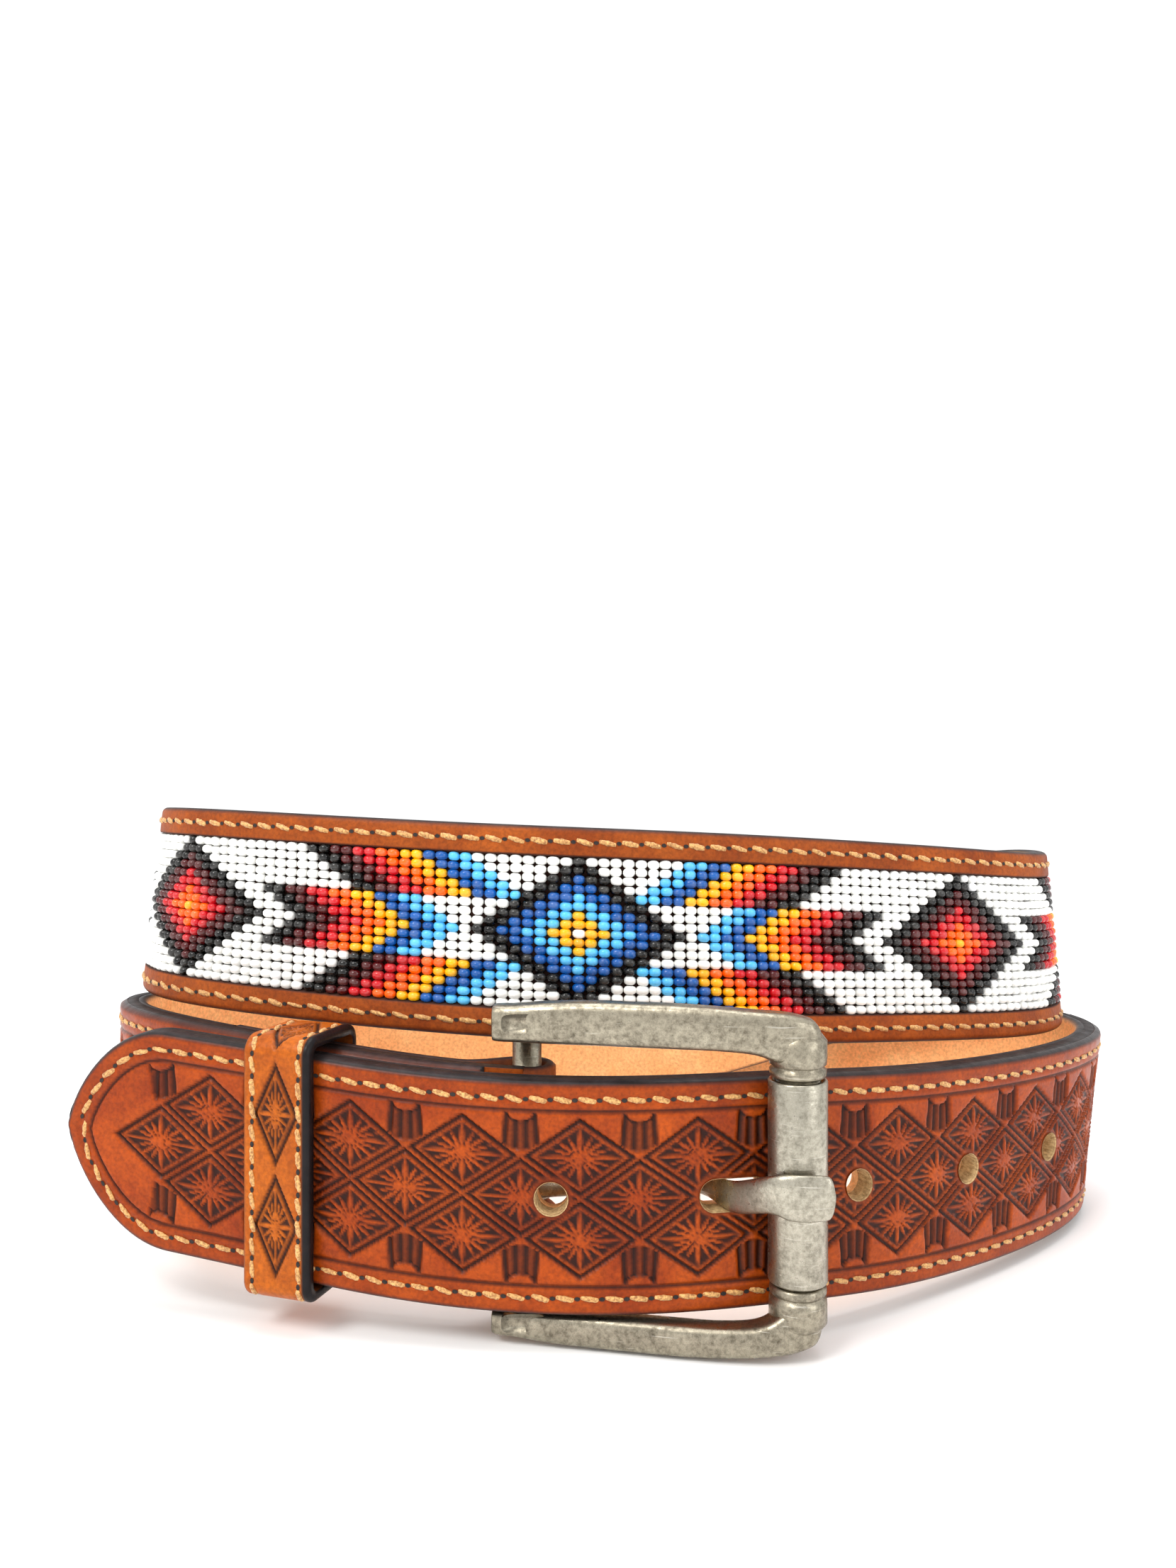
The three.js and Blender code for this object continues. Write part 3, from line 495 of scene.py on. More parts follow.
def punched(obj, tool):
    mod = obj.modifiers.new("holes", "BOOLEAN")
    mod.operation, mod.object, mod.solver = "DIFFERENCE", tool, "EXACT"
    dg = bpy.context.evaluated_depsgraph_get()
    me = bpy.data.meshes.new_from_object(obj.evaluated_get(dg))
    obj.modifiers.clear()
    old, obj.data = obj.data, me
    bpy.data.meshes.remove(old)
    return obj


def smoothstep(a, b, x):
    t = np.clip((x - a) / (b - a), 0, 1)
    return t * t * (3 - 2 * t)


def base_profile(at):
    """Half section of the base at each place: heights, depths and edge shading."""
    covered = smoothstep(0, 6, BUCKLE_TAB - at) + smoothstep(0, 6, at - BILLET_TAB)
    radius = 0.15 + 1.05 * (1 - np.clip(covered, 0, 1))
    half = strap_half(at)
    h = [np.zeros_like(at), np.minimum(half - 0.6, BAND / 2 - 0.2), np.minimum(half - 0.5, BAND / 2 + 0.15)]
    h.append(np.minimum(half - 0.4, BAND / 2 + 0.5))
    d = [np.full_like(at, depth) for depth in (BED, BED, BED_LIP, BASE_FACE)]
    e = [0.0, 0.0, 0.0, 0.0]
    for angle, shade in zip(np.linspace(0, math.pi / 2, 6), (0.0, 0.15, 0.6, 0.95, 1.0, 1.0)):
        h.append(half - radius * (1 - np.sin(angle)))
        d.append(BASE_FACE - 0.12 * np.clip(covered, 0, 1) + radius * (1 - np.cos(angle)))
        e.append(shade)
    h.append(half)
    d.append(np.full_like(at, SEAM))
    e.append(1.0)
    return np.stack(h, 1), np.stack(d, 1), np.array(e)


def stations(start):
    """Places along the strap, closer together where the tip narrows."""
    tip = TIP_AT - TAPER * (1 - np.sin(np.linspace(0, math.pi / 2, 26)))
    return np.unique(np.concatenate([np.arange(start, TIP_AT - TAPER, 2.0), tip]))


def make_base():
    at = stations(HEEL_AT)
    h, d, e = base_profile(at)
    h = np.concatenate([h[:, ::-1], -h], 1)
    d = np.concatenate([d[:, ::-1], d], 1)
    e = np.concatenate([e[::-1], e])
    rings = spot(at[:, None], h, d)
    # The bed under the beads and its lip get the dark colour: painted shade under and between the beads
    return loft("border_leather", rings, edge=e, dark=np.abs(h) < BAND / 2 + 0.25)


def make_fold():
    """The base's fold round the heel bar and the end turned back, with the prong's slot."""
    outwards, onwards, upwards = (vector(table, np.array([HEEL_AT]))[0] for table in (outs, along, ups))
    behind = BASE_BACK + LAYER_GAP
    inner_line, outer_line, rises = [], [], []

    def add(inner, outer, rise_by=upwards):
        inner_line.append(inner)
        outer_line.append(outer)
        rises.append(rise_by)

    for s in np.arange(0, FOLD + 0.1, 1.5)[::-1]:
        t = min(max(s / FOLD_CLOSING, 0), 1)
        inner = behind + (2 * WRAP - LAYER_GAP) * (1 - t * t * (3 - 2 * t))
        add(spot(HEEL_AT + s, 0.0, inner), spot(HEEL_AT + s, 0.0, inner + BASE),
            vector(ups, np.array([HEEL_AT + s]))[0])
    for a in np.linspace(0, math.pi, 19)[1:-1]:
        spoke = -outwards * math.cos(a) - onwards * math.sin(a)
        add(heel_bar + spoke * WRAP, heel_bar + spoke * (WRAP + BASE))
    for s in (0.0, 2.0, 4.0, 6.0):
        add(spot(HEEL_AT + s, 0.0, BASE_BACK), spot(HEEL_AT + s, 0.0, BASE_FACE))
    fi, fo, uu = map(np.array, (inner_line, outer_line, rises))
    pieces = []
    for low, high in ((-HALF, -FOLD_SLOT), (FOLD_SLOT, HALF)):
        profile = [(low + 0.5, 0.0), (low, 0.3), (low, 0.75), (low + 0.4, 1.0), (high - 0.4, 1.0),
                   (high, 0.75), (high, 0.3), (high - 0.5, 0.0)]
        rings = np.stack([fo * (1 - q) + fi * q + uu * hh for hh, q in profile], 1)
        edge = np.array([0.3, 0.9, 1.0, 0.6, 0.6, 1.0, 0.9, 0.3])
        edge[slice(4, 8) if low < 0 else slice(0, 4)] = 0
        pieces.append(loft("heel_fold", rings, edge=edge))
    wide = FOLD_SLOT + 0.2
    bridge = HEEL_AT + np.arange(FOLD_BRIDGE, FOLD + 0.1, 1.5)
    profile = [(-wide, 0), (-wide, BASE), (wide, BASE), (wide, 0)]
    rings = np.stack([spot(bridge, hh, behind + q) for hh, q in profile], 1)
    return pieces + [loft("heel_fold_bridge", rings, edge=0.0)]


def make_lining():
    at = stations(HEEL_AT + FOLD + TURN_GAP)
    half = strap_half(at)
    r, a = 1.25, np.linspace(0, math.pi / 2, 7)
    h = [half] + [np.maximum(half - r * (1 - np.cos(x)), 0.1) for x in a] + [np.maximum(half - 5, 0.05)]
    d = [np.full_like(at, SEAM)] + [np.full_like(at, THICK) - r * (1 - np.sin(x)) for x in a]
    d += [np.full_like(at, THICK)]
    e = np.array([1.0, 1.0, 1.0, 0.95, 0.8, 0.45, 0.15, 0.0, 0.0])
    h, d = np.stack(h, 1), np.stack(d, 1)
    h = np.concatenate([h, -h[:, ::-1]], 1)
    d = np.concatenate([d, d[:, ::-1]], 1)
    e = np.concatenate([e, e[::-1]])
    rings = spot(at[:, None], h, d)
    return loft("tan_lining", rings, edge=e)


# Tooling

# Diamond lattice: half periods along and across the strap, and how far up its diamonds lie
PERIOD_HALF, ROW, LATTICE = 9.7, 6.7, 6.8
# Insets of the cut line and the seam, and the radius of the edge
CUT_LINE, SEW_LINE, EDGE_ROUND = 4.9, 3.0, 1.15
# Distances from the tip: where the tooling starts anew, by how much, and where it stops
TIP_TOOLING, TIP_SHIFT, TIP_PLAIN = 45.0, 7.0, 12.0
# Parts of the outline further off than this are not the nearest
EDGE_REACH = 28
# Where the lattice starts, from the tip and from the buckle tab's point
BILLET_PHASE, BUCKLE_PHASE = 36.0, 42.5
# Step along each piece and columns across it
BILLET_GRID, BUCKLE_GRID = ((0.36, 105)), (0.7, 61)
# The buckle end's cut edge past the fold, and where its seam starts from there
CUT_END, SEAM_START = 1.6, 3.2


def diamonds(s, h, last):
    """Depth and darkness of the diamond lattice at distances s along and heights h."""
    u, v = s / PERIOD_HALF + h / ROW, s / PERIOD_HALF - h / ROW
    u0 = 2 * np.round((u - 1) / 2) + 1
    v0 = 2 * np.round((v - 1) / 2) + 1
    h0 = ROW * (u0 - v0) / 2
    s0 = PERIOD_HALF * (u0 + v0) / 2
    inside = (np.abs(h0) <= LATTICE) & (s0 <= last)
    scale = 1 / math.hypot(1 / PERIOD_HALF, 1 / ROW)
    wall = np.minimum(1 - np.abs(u - u0), 1 - np.abs(v - v0)) * scale
    return star(s - s0, h - h0, wall, inside)


def star(ds, dh, wall, inside):
    """One starburst diamond: wall is the distance to its boundary in millimetres."""
    rho = np.hypot(ds / PERIOD_HALF, dh / ROW)
    theta = np.arctan2(dh / ROW, ds / PERIOD_HALF)
    turn = theta * 16 / (2 * math.pi)
    off = np.abs(turn - np.round(turn))
    longer = 0.54 + 0.10 * np.cos(2 * theta) ** 2 + 0.06 * np.cos(np.round(turn) * math.pi)
    width = 0.50 * np.clip(1 - (rho / longer) ** 1.25, 0, 1)
    ray = smoothstep(-0.10, 0.08, width - off)
    ray = np.where(wall < 1.35, 0, ray)
    field = smoothstep(1.1, 1.7, wall)
    groove = smoothstep(0.12, 0.4, wall) * smoothstep(1.25, 0.7, wall)
    depth = 0.70 * groove + 0.36 * field * (1 - ray) + 0.12 * field
    depth += 0.18 * smoothstep(0.28, 0.0, wall)
    sunk = field * (1 - ray) * (0.84 + 0.4 * np.clip(rho, 0, 0.35))
    dark = np.clip(groove + sunk + 0.2 * smoothstep(0.3, 0.0, wall), 0, 1)
    return np.where(inside, depth, 0), np.where(inside, dark, 0)


def fans(s, t):
    """Shell stamps along the cut line; t is the distance inwards from that line."""
    k = np.round((s / PERIOD_HALF - 1) / 2)
    x = s - (2 * k + 1) * PERIOD_HALF
    half = 2.65 + 0.09 * np.clip(t, 0, 7)
    end = 6.6 - 1.2 * (x / np.maximum(half, 0.1)) ** 2
    inside = smoothstep(0.25, -0.1, np.abs(x) - half) * smoothstep(-0.1, 0.25, end - t)
    inside *= smoothstep(0.3, 0.7, t)
    radius = np.hypot(x * 0.85, t * 1.1)
    dome = smoothstep(2.1, 1.8, radius)
    ribs = 0.5 + 0.5 * np.cos(x / half * math.pi * 3.5)
    depth = inside * (0.25 + 0.5 * (1 - ribs)) * (1 - dome)
    dark = inside * (0.55 + 0.45 * (1 - ribs)) * (1 - dome)
    rim = smoothstep(0.35, 0.0, np.abs(radius - 2.0)) * (t > 0) * (np.abs(x) < 2.6)
    return depth + 0.25 * rim, np.clip(dark + 0.7 * rim, 0, 1)


def edge_distance(s, h, starts, ends):
    """Distance of the points to line segments, in the strap's flat coordinates."""
    best = np.full(s.shape, 1e9)
    for (x0, y0), (x1, y1) in zip(starts, ends):
        dx, dy = x1 - x0, y1 - y0
        length = dx * dx + dy * dy
        if length < 1e-12:
            continue
        t = np.clip(((s - x0) * dx + (h - y0) * dy) / length, 0, 1)
        best = np.minimum(best, (s - x0 - t * dx) ** 2 + (h - y0 - t * dy) ** 2)
    return np.sqrt(best)


def rounding(e, radius):
    """How far a rounded edge has dropped at distances e from it."""
    over = np.clip((radius - e) / radius, 0, 1)
    return radius * (1 - np.sqrt(np.clip(1 - over**2, 0, 1)))


def make_overlay(name, start, end, half_at, phase, fine_step, cols, free_end):
    """A tooled piece laid on the strap, and its outline; only the free end has holes and a tip."""
    ends = np.array([0.05, 0.12, 0.22, 0.34, 0.5]) * 3
    at = np.arange(start, end, fine_step)
    at = np.unique(np.concatenate([at, start + ends, end - ends, [start, end]]))
    half = half_at(at)
    skin_s = np.repeat(at[:, None], cols, 1)
    skin_h = half[:, None] * np.linspace(-1, 1, cols)
    line = np.linspace(start, end, 260)
    line = np.stack([line, half_at(line)], 1)
    line = np.concatenate([line, line[::-1] * [1, -1], line[:1]])
    e = np.zeros(skin_s.shape)
    chunk = max(1, len(at) // 24)
    for i in range(0, len(at), chunk):
        rows = slice(i, i + chunk)
        close = (line[:-1, 0] > at[i] - EDGE_REACH) & (line[:-1, 0] < at[rows][-1] + EDGE_REACH)
        e[rows] = edge_distance(skin_s[rows], skin_h[rows], line[:-1][close], line[1:][close])
    along_tool, last = skin_s - phase, np.inf
    if free_end:
        along_tool = np.where(skin_s > TIP_AT - TIP_TOOLING, along_tool - TIP_SHIFT, along_tool)
        last = TIP_AT - TIP_PLAIN - phase - TIP_SHIFT
    inner = e - CUT_LINE
    field = smoothstep(0.3, 0.9, inner)
    depth, dark = (value * field for value in diamonds(along_tool, skin_h, last))
    fan_depth, fan_dark = fans(along_tool, inner)
    plain = (dark < 0.05) & (np.abs(np.abs(skin_h) - (HALF - e)) < 0.6)
    depth = np.where(plain, np.maximum(depth, fan_depth), depth)
    dark = np.where(plain, np.maximum(dark, fan_dark), dark)
    cut = smoothstep(0.42, 0.08, np.abs(inner))
    depth = np.maximum(depth, 0.45 * cut)
    dark = np.maximum(dark, cut * 0.95)
    dark = np.maximum(dark, (1 - smoothstep(0.0, 0.5, inner)) * 0.12)
    depth += 0.18 * smoothstep(0.9, 0.2, np.abs(e - SEW_LINE))
    depth += rounding(e, EDGE_ROUND)
    edge = smoothstep(EDGE_ROUND, 0.35, e)
    cut_out = np.zeros(skin_s.shape, bool)
    for hole_at, stretch in hole_places() if free_end else []:
        middle = np.clip(skin_s, hole_at, hole_at + stretch)
        far = np.hypot(skin_s - middle, skin_h)
        # A darker ring on the sunken rim round each hole: painted shade going into the hole
        ring = smoothstep(HOLE / 2 + 1.3, HOLE / 2 + 0.1, far)
        dark = np.maximum(dark * (1 - ring), ring * 0.55)
        depth = depth * (1 - ring) + 0.25 * ring * ring
        cut_out |= far < HOLE / 2 - 1.2 * fine_step
        within = far < HOLE / 2
        push = np.where(within, HOLE / 2 / np.maximum(far, 1e-4), 1)
        skin_s = np.where(within, middle + (skin_s - middle) * push, skin_s)
        skin_h = skin_h * push
    low, high = (spot(at, sign * half, OVERLAY + 0.16)[:, None] for sign in (-1, 1))
    pts = np.concatenate([low, spot(skin_s, skin_h, depth), high], 1)
    edge, dark, cut_out = (np.pad(value, ((0, 0), (1, 1)), constant_values=rim).ravel()
                           for value, rim in ((edge, 1.0), (dark, 0.0), (cut_out, False)))
    faces = grid_faces(*pts.shape[:2])
    return make(name, pts, [faces[~cut_out[faces].all(1)]], dict(edge=edge, dark=dark)), line


# Threads

STITCH_SHARE, STITCH_THICK = 0.94, 0.46
# Distances between stitches, and how deep the threads lie
BORDER_PITCH, TOOLED_PITCH, KEEPER_PITCH = 4.2, 4.0, 3.7
ON_BORDER, ON_TOOLED, ON_KEEPER = 1.45, 0.12, 0.10
# The border's seam: inset from the edge, and how far it runs past the tabs' points
BORDER_LINE, BORDER_LAP = 2.75, 6


def each(values):
    """One value for every ring and side of a piece."""
    return values[:, None, None]


def copies(faces, count, points):
    """The faces of one piece, repeated for count pieces of so many points."""
    return (faces + each(np.arange(count) * points)).reshape(-1, faces.shape[1])


def stitch_run(points, pitch):
    """Stitches along a polyline in flat coordinates: place, direction and distance of each."""
    total = np.concatenate([[0], np.cumsum(np.hypot(*np.diff(points, axis=0).T))])
    count = max(int(total[-1] // pitch), 1)
    step = total[-1] / count
    middle = (np.arange(count) + 0.5) * step

    def at(gone_in):
        return np.stack([np.interp(gone_in, total, points[:, k]) for k in (0, 1)], 1)

    return np.column_stack([at(middle), unit(at(middle + 0.4) - at(middle - 0.4)), np.full(count, step)])


def sew(name, runs, lift, place=spot):
    """Twisted threads standing on a surface, and dark discs at the stitch holes between them: painted
    shade.
    """
    s0, h0, ds, dh, step = np.concatenate(runs).T
    n, sides, rings = len(s0), 8, 9
    u = np.linspace(-1, 1, rings)
    a = circle(sides)
    slant = np.radians(rng.normal(11, 3.5, n))
    ts, th = ds * np.cos(slant) - dh * np.sin(slant), dh * np.cos(slant) + ds * np.sin(slant)
    profile = np.clip(1 - np.abs(u) ** 4, 0.02, 1) ** 0.5
    twist = 1 + 0.16 * np.cos(2 * (a[None, :] + u[:, None] * 4.2))
    wob = rng.normal(1, 0.07, n)
    side_off = STITCH_THICK * profile[:, None] * np.cos(a)[None] * twist
    rise_off = STITCH_THICK * 0.8 * profile[:, None] * np.sin(a)[None] * twist
    bow = -0.5 * np.abs(u) ** 3
    run = u[None, :, None] * each(step * STITCH_SHARE) / 2
    s = each(s0) + each(ts) * run + each(-th) * side_off * each(wob)
    h = each(h0) + each(th) * run + each(ts) * side_off * each(wob)
    d = lift - (rise_off + bow[:, None])
    faces = copies(grid_faces(rings, sides, wrap_cols=True), n, rings * sides)
    finish_piece(make(name, place(s, h, d), [faces]), THREAD)
    # Dark discs at the stitch holes, between the threads: painted shade where the thread goes into the
    # leather
    s1, h1 = s0 + ds * step / 2, h0 + dh * step / 2
    hs = s1[:, None] + ds[:, None] * 0.5 * np.cos(a) - dh[:, None] * 0.36 * np.sin(a)
    hh = h1[:, None] + dh[:, None] * 0.5 * np.cos(a) + ds[:, None] * 0.36 * np.sin(a)
    disc = np.concatenate([place(s1, h1, lift - 0.02)[:, None], place(hs, hh, lift - 0.05)], 1)
    k = np.arange(sides)
    tri = np.stack([0 * k, 1 + k, 1 + (k + 1) % sides], 1)
    finish_piece(make(name + "_hole_shade", disc, [copies(tri, n, sides + 1)]), HOLE_SHADE)


def inset_line(line, distance):
    """A polyline moved inwards from a closed outline, without its tangles."""
    closed = line[:-1]
    d = unit(np.roll(closed, -1, 0) - np.roll(closed, 1, 0))
    moved = closed + np.stack([d[:, 1], -d[:, 0]], 1) * distance
    far = edge_distance(moved[:, 0], moved[:, 1], line[:-1], line[1:])
    return moved[far > distance - 0.12]


# Beads

PALETTE = {
    "white": (246, 246, 242), "black": (3, 3, 3), "dark red": (76, 6, 10), "red": (196, 8, 24),
    "orange": (248, 96, 0), "yellow": (250, 176, 0), "blue": (14, 84, 160), "light blue": (84, 186, 238),
}
RED_DIAMOND = ["yellow", "orange", "orange", "red", "red", "dark red", "dark red", "black", "black"]
BLUE_DIAMOND = ["white", "yellow", "yellow", "light blue", "light blue", "blue", "blue", "black", "black"]
FEATHER = ["black", "dark red", "red", "orange", "yellow", "blue", "light blue"]
# Where the feathers start, near the centre line and beyond its columns
FEATHER_NEAR, FEATHER_FAR, NEAR_COLUMNS = 12, 21, 3
BEAD_ROW, BEAD_COLUMN, SIDE_COLUMNS, HALF_PERIOD = 2.33, 1.6, 8, 35
PATTERN_SHIFT, BEAD_DEPTH = -16.0, 2.42
# How far the beads stop short of the tabs' roots, and reach under the tabs' edges
BEADS_SHORT, BEADS_UNDER = 1.5, 3.2


def bead_colour(r, c):
    """Colour of the bead r rows from a red diamond's middle and c columns from the centre line."""
    if r + c < len(RED_DIAMOND):
        return RED_DIAMOND[r + c]
    d = (HALF_PERIOD - r) + c
    if d < len(BLUE_DIAMOND):
        return BLUE_DIAMOND[d]
    u = r + c - (FEATHER_NEAR if c <= NEAR_COLUMNS else FEATHER_FAR)
    return FEATHER[u // 2] if 0 <= u < 2 * len(FEATHER) else "white"


def make_beads():
    """The beads in four meshes, along the strap."""
    middle = (BUCKLE_TAB + BILLET_TAB) / 2 + PATTERN_SHIFT
    first = math.ceil((BUCKLE_TAB - TAB_LENGTH + BEADS_SHORT - middle) / BEAD_ROW)
    last = math.floor((BILLET_TAB + TAB_LENGTH - BEADS_SHORT - middle) / BEAD_ROW)
    places, tint = [], []
    for i in range(first, last + 1):
        r = abs(HALF_PERIOD - abs(i) % (2 * HALF_PERIOD))
        here = middle + i * BEAD_ROW
        covered = max(tab_half(BUCKLE_TAB - here) if here < BUCKLE_TAB else 0,
                      tab_half(here - BILLET_TAB) if here > BILLET_TAB else 0)
        for j in range(-SIDE_COLUMNS, SIDE_COLUMNS + 1):
            if abs(j) * BEAD_COLUMN >= covered - BEADS_UNDER:
                places.append((here, j * BEAD_COLUMN))
                tint.append(rgb(*PALETTE[bead_colour(r, abs(j))])[:3])
    at, height = np.array(places).T
    n, sides = len(at), 9
    ring_w = np.array([-0.79, -0.62, -0.26, 0.26, 0.62, 0.79])
    ring_r = np.array([0.55, 0.92, 1.16, 1.16, 0.92, 0.55])
    a = circle(sides) + 0.2
    size = 1 + rng.normal(0, 0.035, n)
    wide = 1 + rng.normal(0, 0.03, n)
    shift_s, shift_h = rng.normal(0, 0.05, n), rng.normal(0, 0.04, n)
    tip_up = rng.normal(0, 0.05, n)
    w = ring_w[None, :, None] * each(wide)
    rr = ring_r[None, :, None] * each(size)
    s = each(at + shift_s) + rr * np.cos(a) + each(tip_up) * w
    h = each(height + shift_h) + w
    d = BEAD_DEPTH + each(rng.normal(0, 0.05, n)) - rr * np.sin(a)
    colour = np.clip(np.array(tint) * (1 + rng.normal(0, 0.05, n))[:, None], 0, 1)
    one = grid_faces(len(ring_w), sides, wrap_cols=True)
    made = []
    for k, pick in enumerate(np.array_split(np.argsort(at, kind="stable"), 4)):
        pts = spot(s[pick], h[pick], d[pick])
        faces = copies(one, len(pick), len(ring_w) * sides)
        colours = np.repeat(colour[pick], len(ring_w) * sides, 0)
        made.append(make("beads_%d" % (k + 1), pts, [faces], {"tint": colours}))
    return made


# Build the strap

hole_tool = hole_tubes("hole cutters", [(-1.0, 0), (THICK + 1.2, 0)], True)
for piece in [punched(make_base(), hole_tool), *make_fold()]:
    finish_piece(piece, BORDER, replaces=("base_strap",))
finish_piece(punched(make_lining(), hole_tool), TAN, replaces=("lining",))
bpy.data.objects.remove(hole_tool)
for piece in make_beads():
    finish_piece(piece, BEADS, replaces=("bead_band",))


def billet_half(at):
    return np.minimum(tab_half(at - BILLET_TAB), strap_half(at))


def buckle_half(at):
    return tab_half(BUCKLE_TAB - at)


billet, billet_line = make_overlay(
    "tooled_billet", BILLET_TAB, TIP_AT, billet_half, TIP_AT - BILLET_PHASE, *BILLET_GRID, True)
finish_piece(billet, TOOLED, replaces=("billet_overlay",))
buckle_start = HEEL_AT + WRAP + BASE + CUT_END
buckle_tooled, buckle_line = make_overlay(
    "tooled_buckle_end", buckle_start, BUCKLE_TAB, buckle_half, BUCKLE_TAB - BUCKLE_PHASE,
    *BUCKLE_GRID, False)
finish_piece(buckle_tooled, TOOLED, replaces=("buckle_overlay",))
walls = hole_tubes("hole_walls", WALL_RINGS, False)
finish_piece(walls, RAW)

s = np.arange(BUCKLE_TAB - BORDER_LAP, BILLET_TAB + BORDER_LAP, 1.0)
borders = [np.stack([s, np.full_like(s, sign * (HALF - BORDER_LINE))], 1) for sign in (-1, 1)]
runs = [stitch_run(border, BORDER_PITCH) for border in borders]
sew("border_stitches", runs, ON_BORDER)
inner = inset_line(billet_line, SEW_LINE)
inner = np.vstack([inner, inner[:1]])
sew("billet_stitches", [stitch_run(inner, TOOLED_PITCH)], ON_TOOLED)
inner = inset_line(buckle_line, SEW_LINE)
inner = inner[inner[:, 0] > buckle_start + SEAM_START]
inner = inner[np.argsort(np.where(inner[:, 1] > 0, inner[:, 0], 2 * BUCKLE_TAB - inner[:, 0]))]
sew("buckle_end_stitches", [stitch_run(inner, TOOLED_PITCH)], ON_TOOLED)


# Keeper

# Its middle from the heel bar, its length along the strap, its wall and its corner radius
KEEPER_AT, KEEPER_LENGTH, KEEPER_WALL, KEEPER_CORNER = 39.3, 12.6, 1.8, 3.2
# Insets of its seams, radius of its edges, and the height of its front diamonds
KEEPER_SEW, KEEPER_ROUND, KEEPER_DIAMOND = 1.9, 0.8, 9.3


def keeper_section(deep, high):
    """Outline of the keeper's section: depths and heights, from its inner lower corner on."""
    r, ring = KEEPER_CORNER, []

    def straight(x0, y0, x1, y1, count):
        for t in np.linspace(0, 1, count, endpoint=False):
            ring.append((x0 + (x1 - x0) * t, y0 + (y1 - y0) * t))

    def arc(cx, cy, a0, a1):
        for a in np.linspace(a0, a1, 14, endpoint=False):
            ring.append((cx + r * math.cos(a), cy + r * math.sin(a)))

    straight(-deep + r, -high, deep - r, -high, 16)
    arc(deep - r, -high + r, -math.pi / 2, 0)
    straight(deep, -high + r, deep, high - r, 30)
    arc(deep - r, high - r, 0, math.pi / 2)
    straight(deep - r, high, -deep + r, high, 30)
    arc(-deep + r, high - r, math.pi / 2, math.pi)
    straight(-deep, high - r, -deep, -high + r, 150)
    arc(-deep + r, -high + r, math.pi, math.pi * 1.5)
    return np.array(ring)


def make_keeper():
    """The tooled loop and its stitches, in the box of the CAD's keeper."""
    lo, hi = (np.array(corner) * 1000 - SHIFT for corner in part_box("keeper"))
    onward = vector(along, np.array([HEEL_AT + KEEPER_AT]))[0] * [1, 1, 0]
    onward /= np.linalg.norm(onward)
    up = np.array([0, 0, 1.0])
    inwards = np.cross(onward, up)
    centre = (lo + hi) / 2
    deep = (hi[1] - lo[1] - KEEPER_LENGTH * abs(onward[1])) / abs(onward[0]) / 2
    ring = keeper_section(deep, (hi[2] - lo[2]) / 2)
    d = unit(np.roll(ring, -1, 0) - np.roll(ring, 1, 0))
    normal = np.stack([d[:, 1], -d[:, 0]], 1)
    x = np.linspace(-KEEPER_LENGTH / 2, KEEPER_LENGTH / 2, 41)
    xx = np.broadcast_to(x[:, None], (len(x), len(ring)))
    gone_round = lengths(ring)
    over = np.argmin(np.abs(ring[:, 0] + deep * 0.15) + 100 * (ring[:, 1] < 0))
    front = ring[:, 0] < 0
    depth, dark = np.zeros(xx.shape), np.zeros(xx.shape)
    # Two diamonds on the front and one over the upper edge
    for dz, reach_in, shown in (((ring[:, 1] - KEEPER_DIAMOND) / 9.2, 3.5, front),
                                ((ring[:, 1] + KEEPER_DIAMOND) / 9.2, 3.5, front),
                                ((gone_round - gone_round[over]) / 8.0, 3.3, True)):
        dx = xx / 4.5
        wall = (1 - (np.abs(dx) + np.abs(dz))) * reach_in
        inside = (wall > 0) & shown
        sunk, shade = star(dx * PERIOD_HALF * 0.98, dz * ROW * 0.98, np.maximum(wall, 0) * 1.25, inside)
        depth, dark = np.maximum(depth, sunk * 0.8), np.maximum(dark, shade)
    e = KEEPER_LENGTH / 2 - np.abs(xx)
    depth = depth + rounding(e, KEEPER_ROUND)
    depth = depth + 0.15 * smoothstep(0.8, 0.2, np.abs(e - KEEPER_SEW))
    edge = np.where(xx > 0, smoothstep(1.5, 1.1, e), 0.55 * smoothstep(0.75, 0.3, e))

    def put(points):
        return centre + points[..., :1] * inwards + points[..., 1:] * up - x[:, None, None] * onward

    outer = put(ring[None] - normal[None] * depth[..., None])
    inner = put((ring - normal * KEEPER_WALL)[None])
    rings = np.concatenate([outer, inner[::-1]], 0)
    # The inner face takes 0.4 of the edge colour and 0.3 of the dark colour: painted shade inside the loop
    edge = np.concatenate([edge, np.full(inner.shape[:2], 0.4)], 0)
    edge[[len(x), -1]] = 1.0
    dark = np.concatenate([dark, np.full(inner.shape[:2], 0.3)], 0)
    faces = grid_faces(*rings.shape[:2], wrap_cols=True, wrap_rows=True)
    keeper = make("tooled_keeper", rings, [faces], dict(edge=edge.ravel(), dark=dark.ravel()))
    finish_piece(keeper, KEEPER, replaces=("keeper",))

    def on_keeper(s, h, d):
        """Points of the keeper: s round its section, h along the strap, d inwards."""
        total = np.append(gone_round, gone_round[-1] + np.linalg.norm(ring[0] - ring[-1]))
        columns = (*ring.T, *normal.T)
        px, pz, nx, nz = (np.interp(s, total, np.append(column, column[0])) for column in columns)
        px, pz = px - nx * d, pz - nz * d
        return centre + px[..., None] * inwards + pz[..., None] * up - h[..., None] * onward

    low = gone_round[np.argmin(np.abs(ring[:, 0] - (deep - KEEPER_CORNER)) + 50 * (ring[:, 1] < 0))]
    s = np.linspace(low, gone_round[-1] - 1.0, 120)
    seams = [sign * (KEEPER_LENGTH / 2 - KEEPER_SEW) for sign in (-1, 1)]
    runs = [stitch_run(np.stack([s, np.full_like(s, h)], 1), KEEPER_PITCH) for h in seams]
    sew("keeper_stitches", runs, ON_KEEPER, place=on_keeper)


make_keeper()


# Buckle

ARM_DEPTH, UPPER_SWELL = 5.0, 2.0
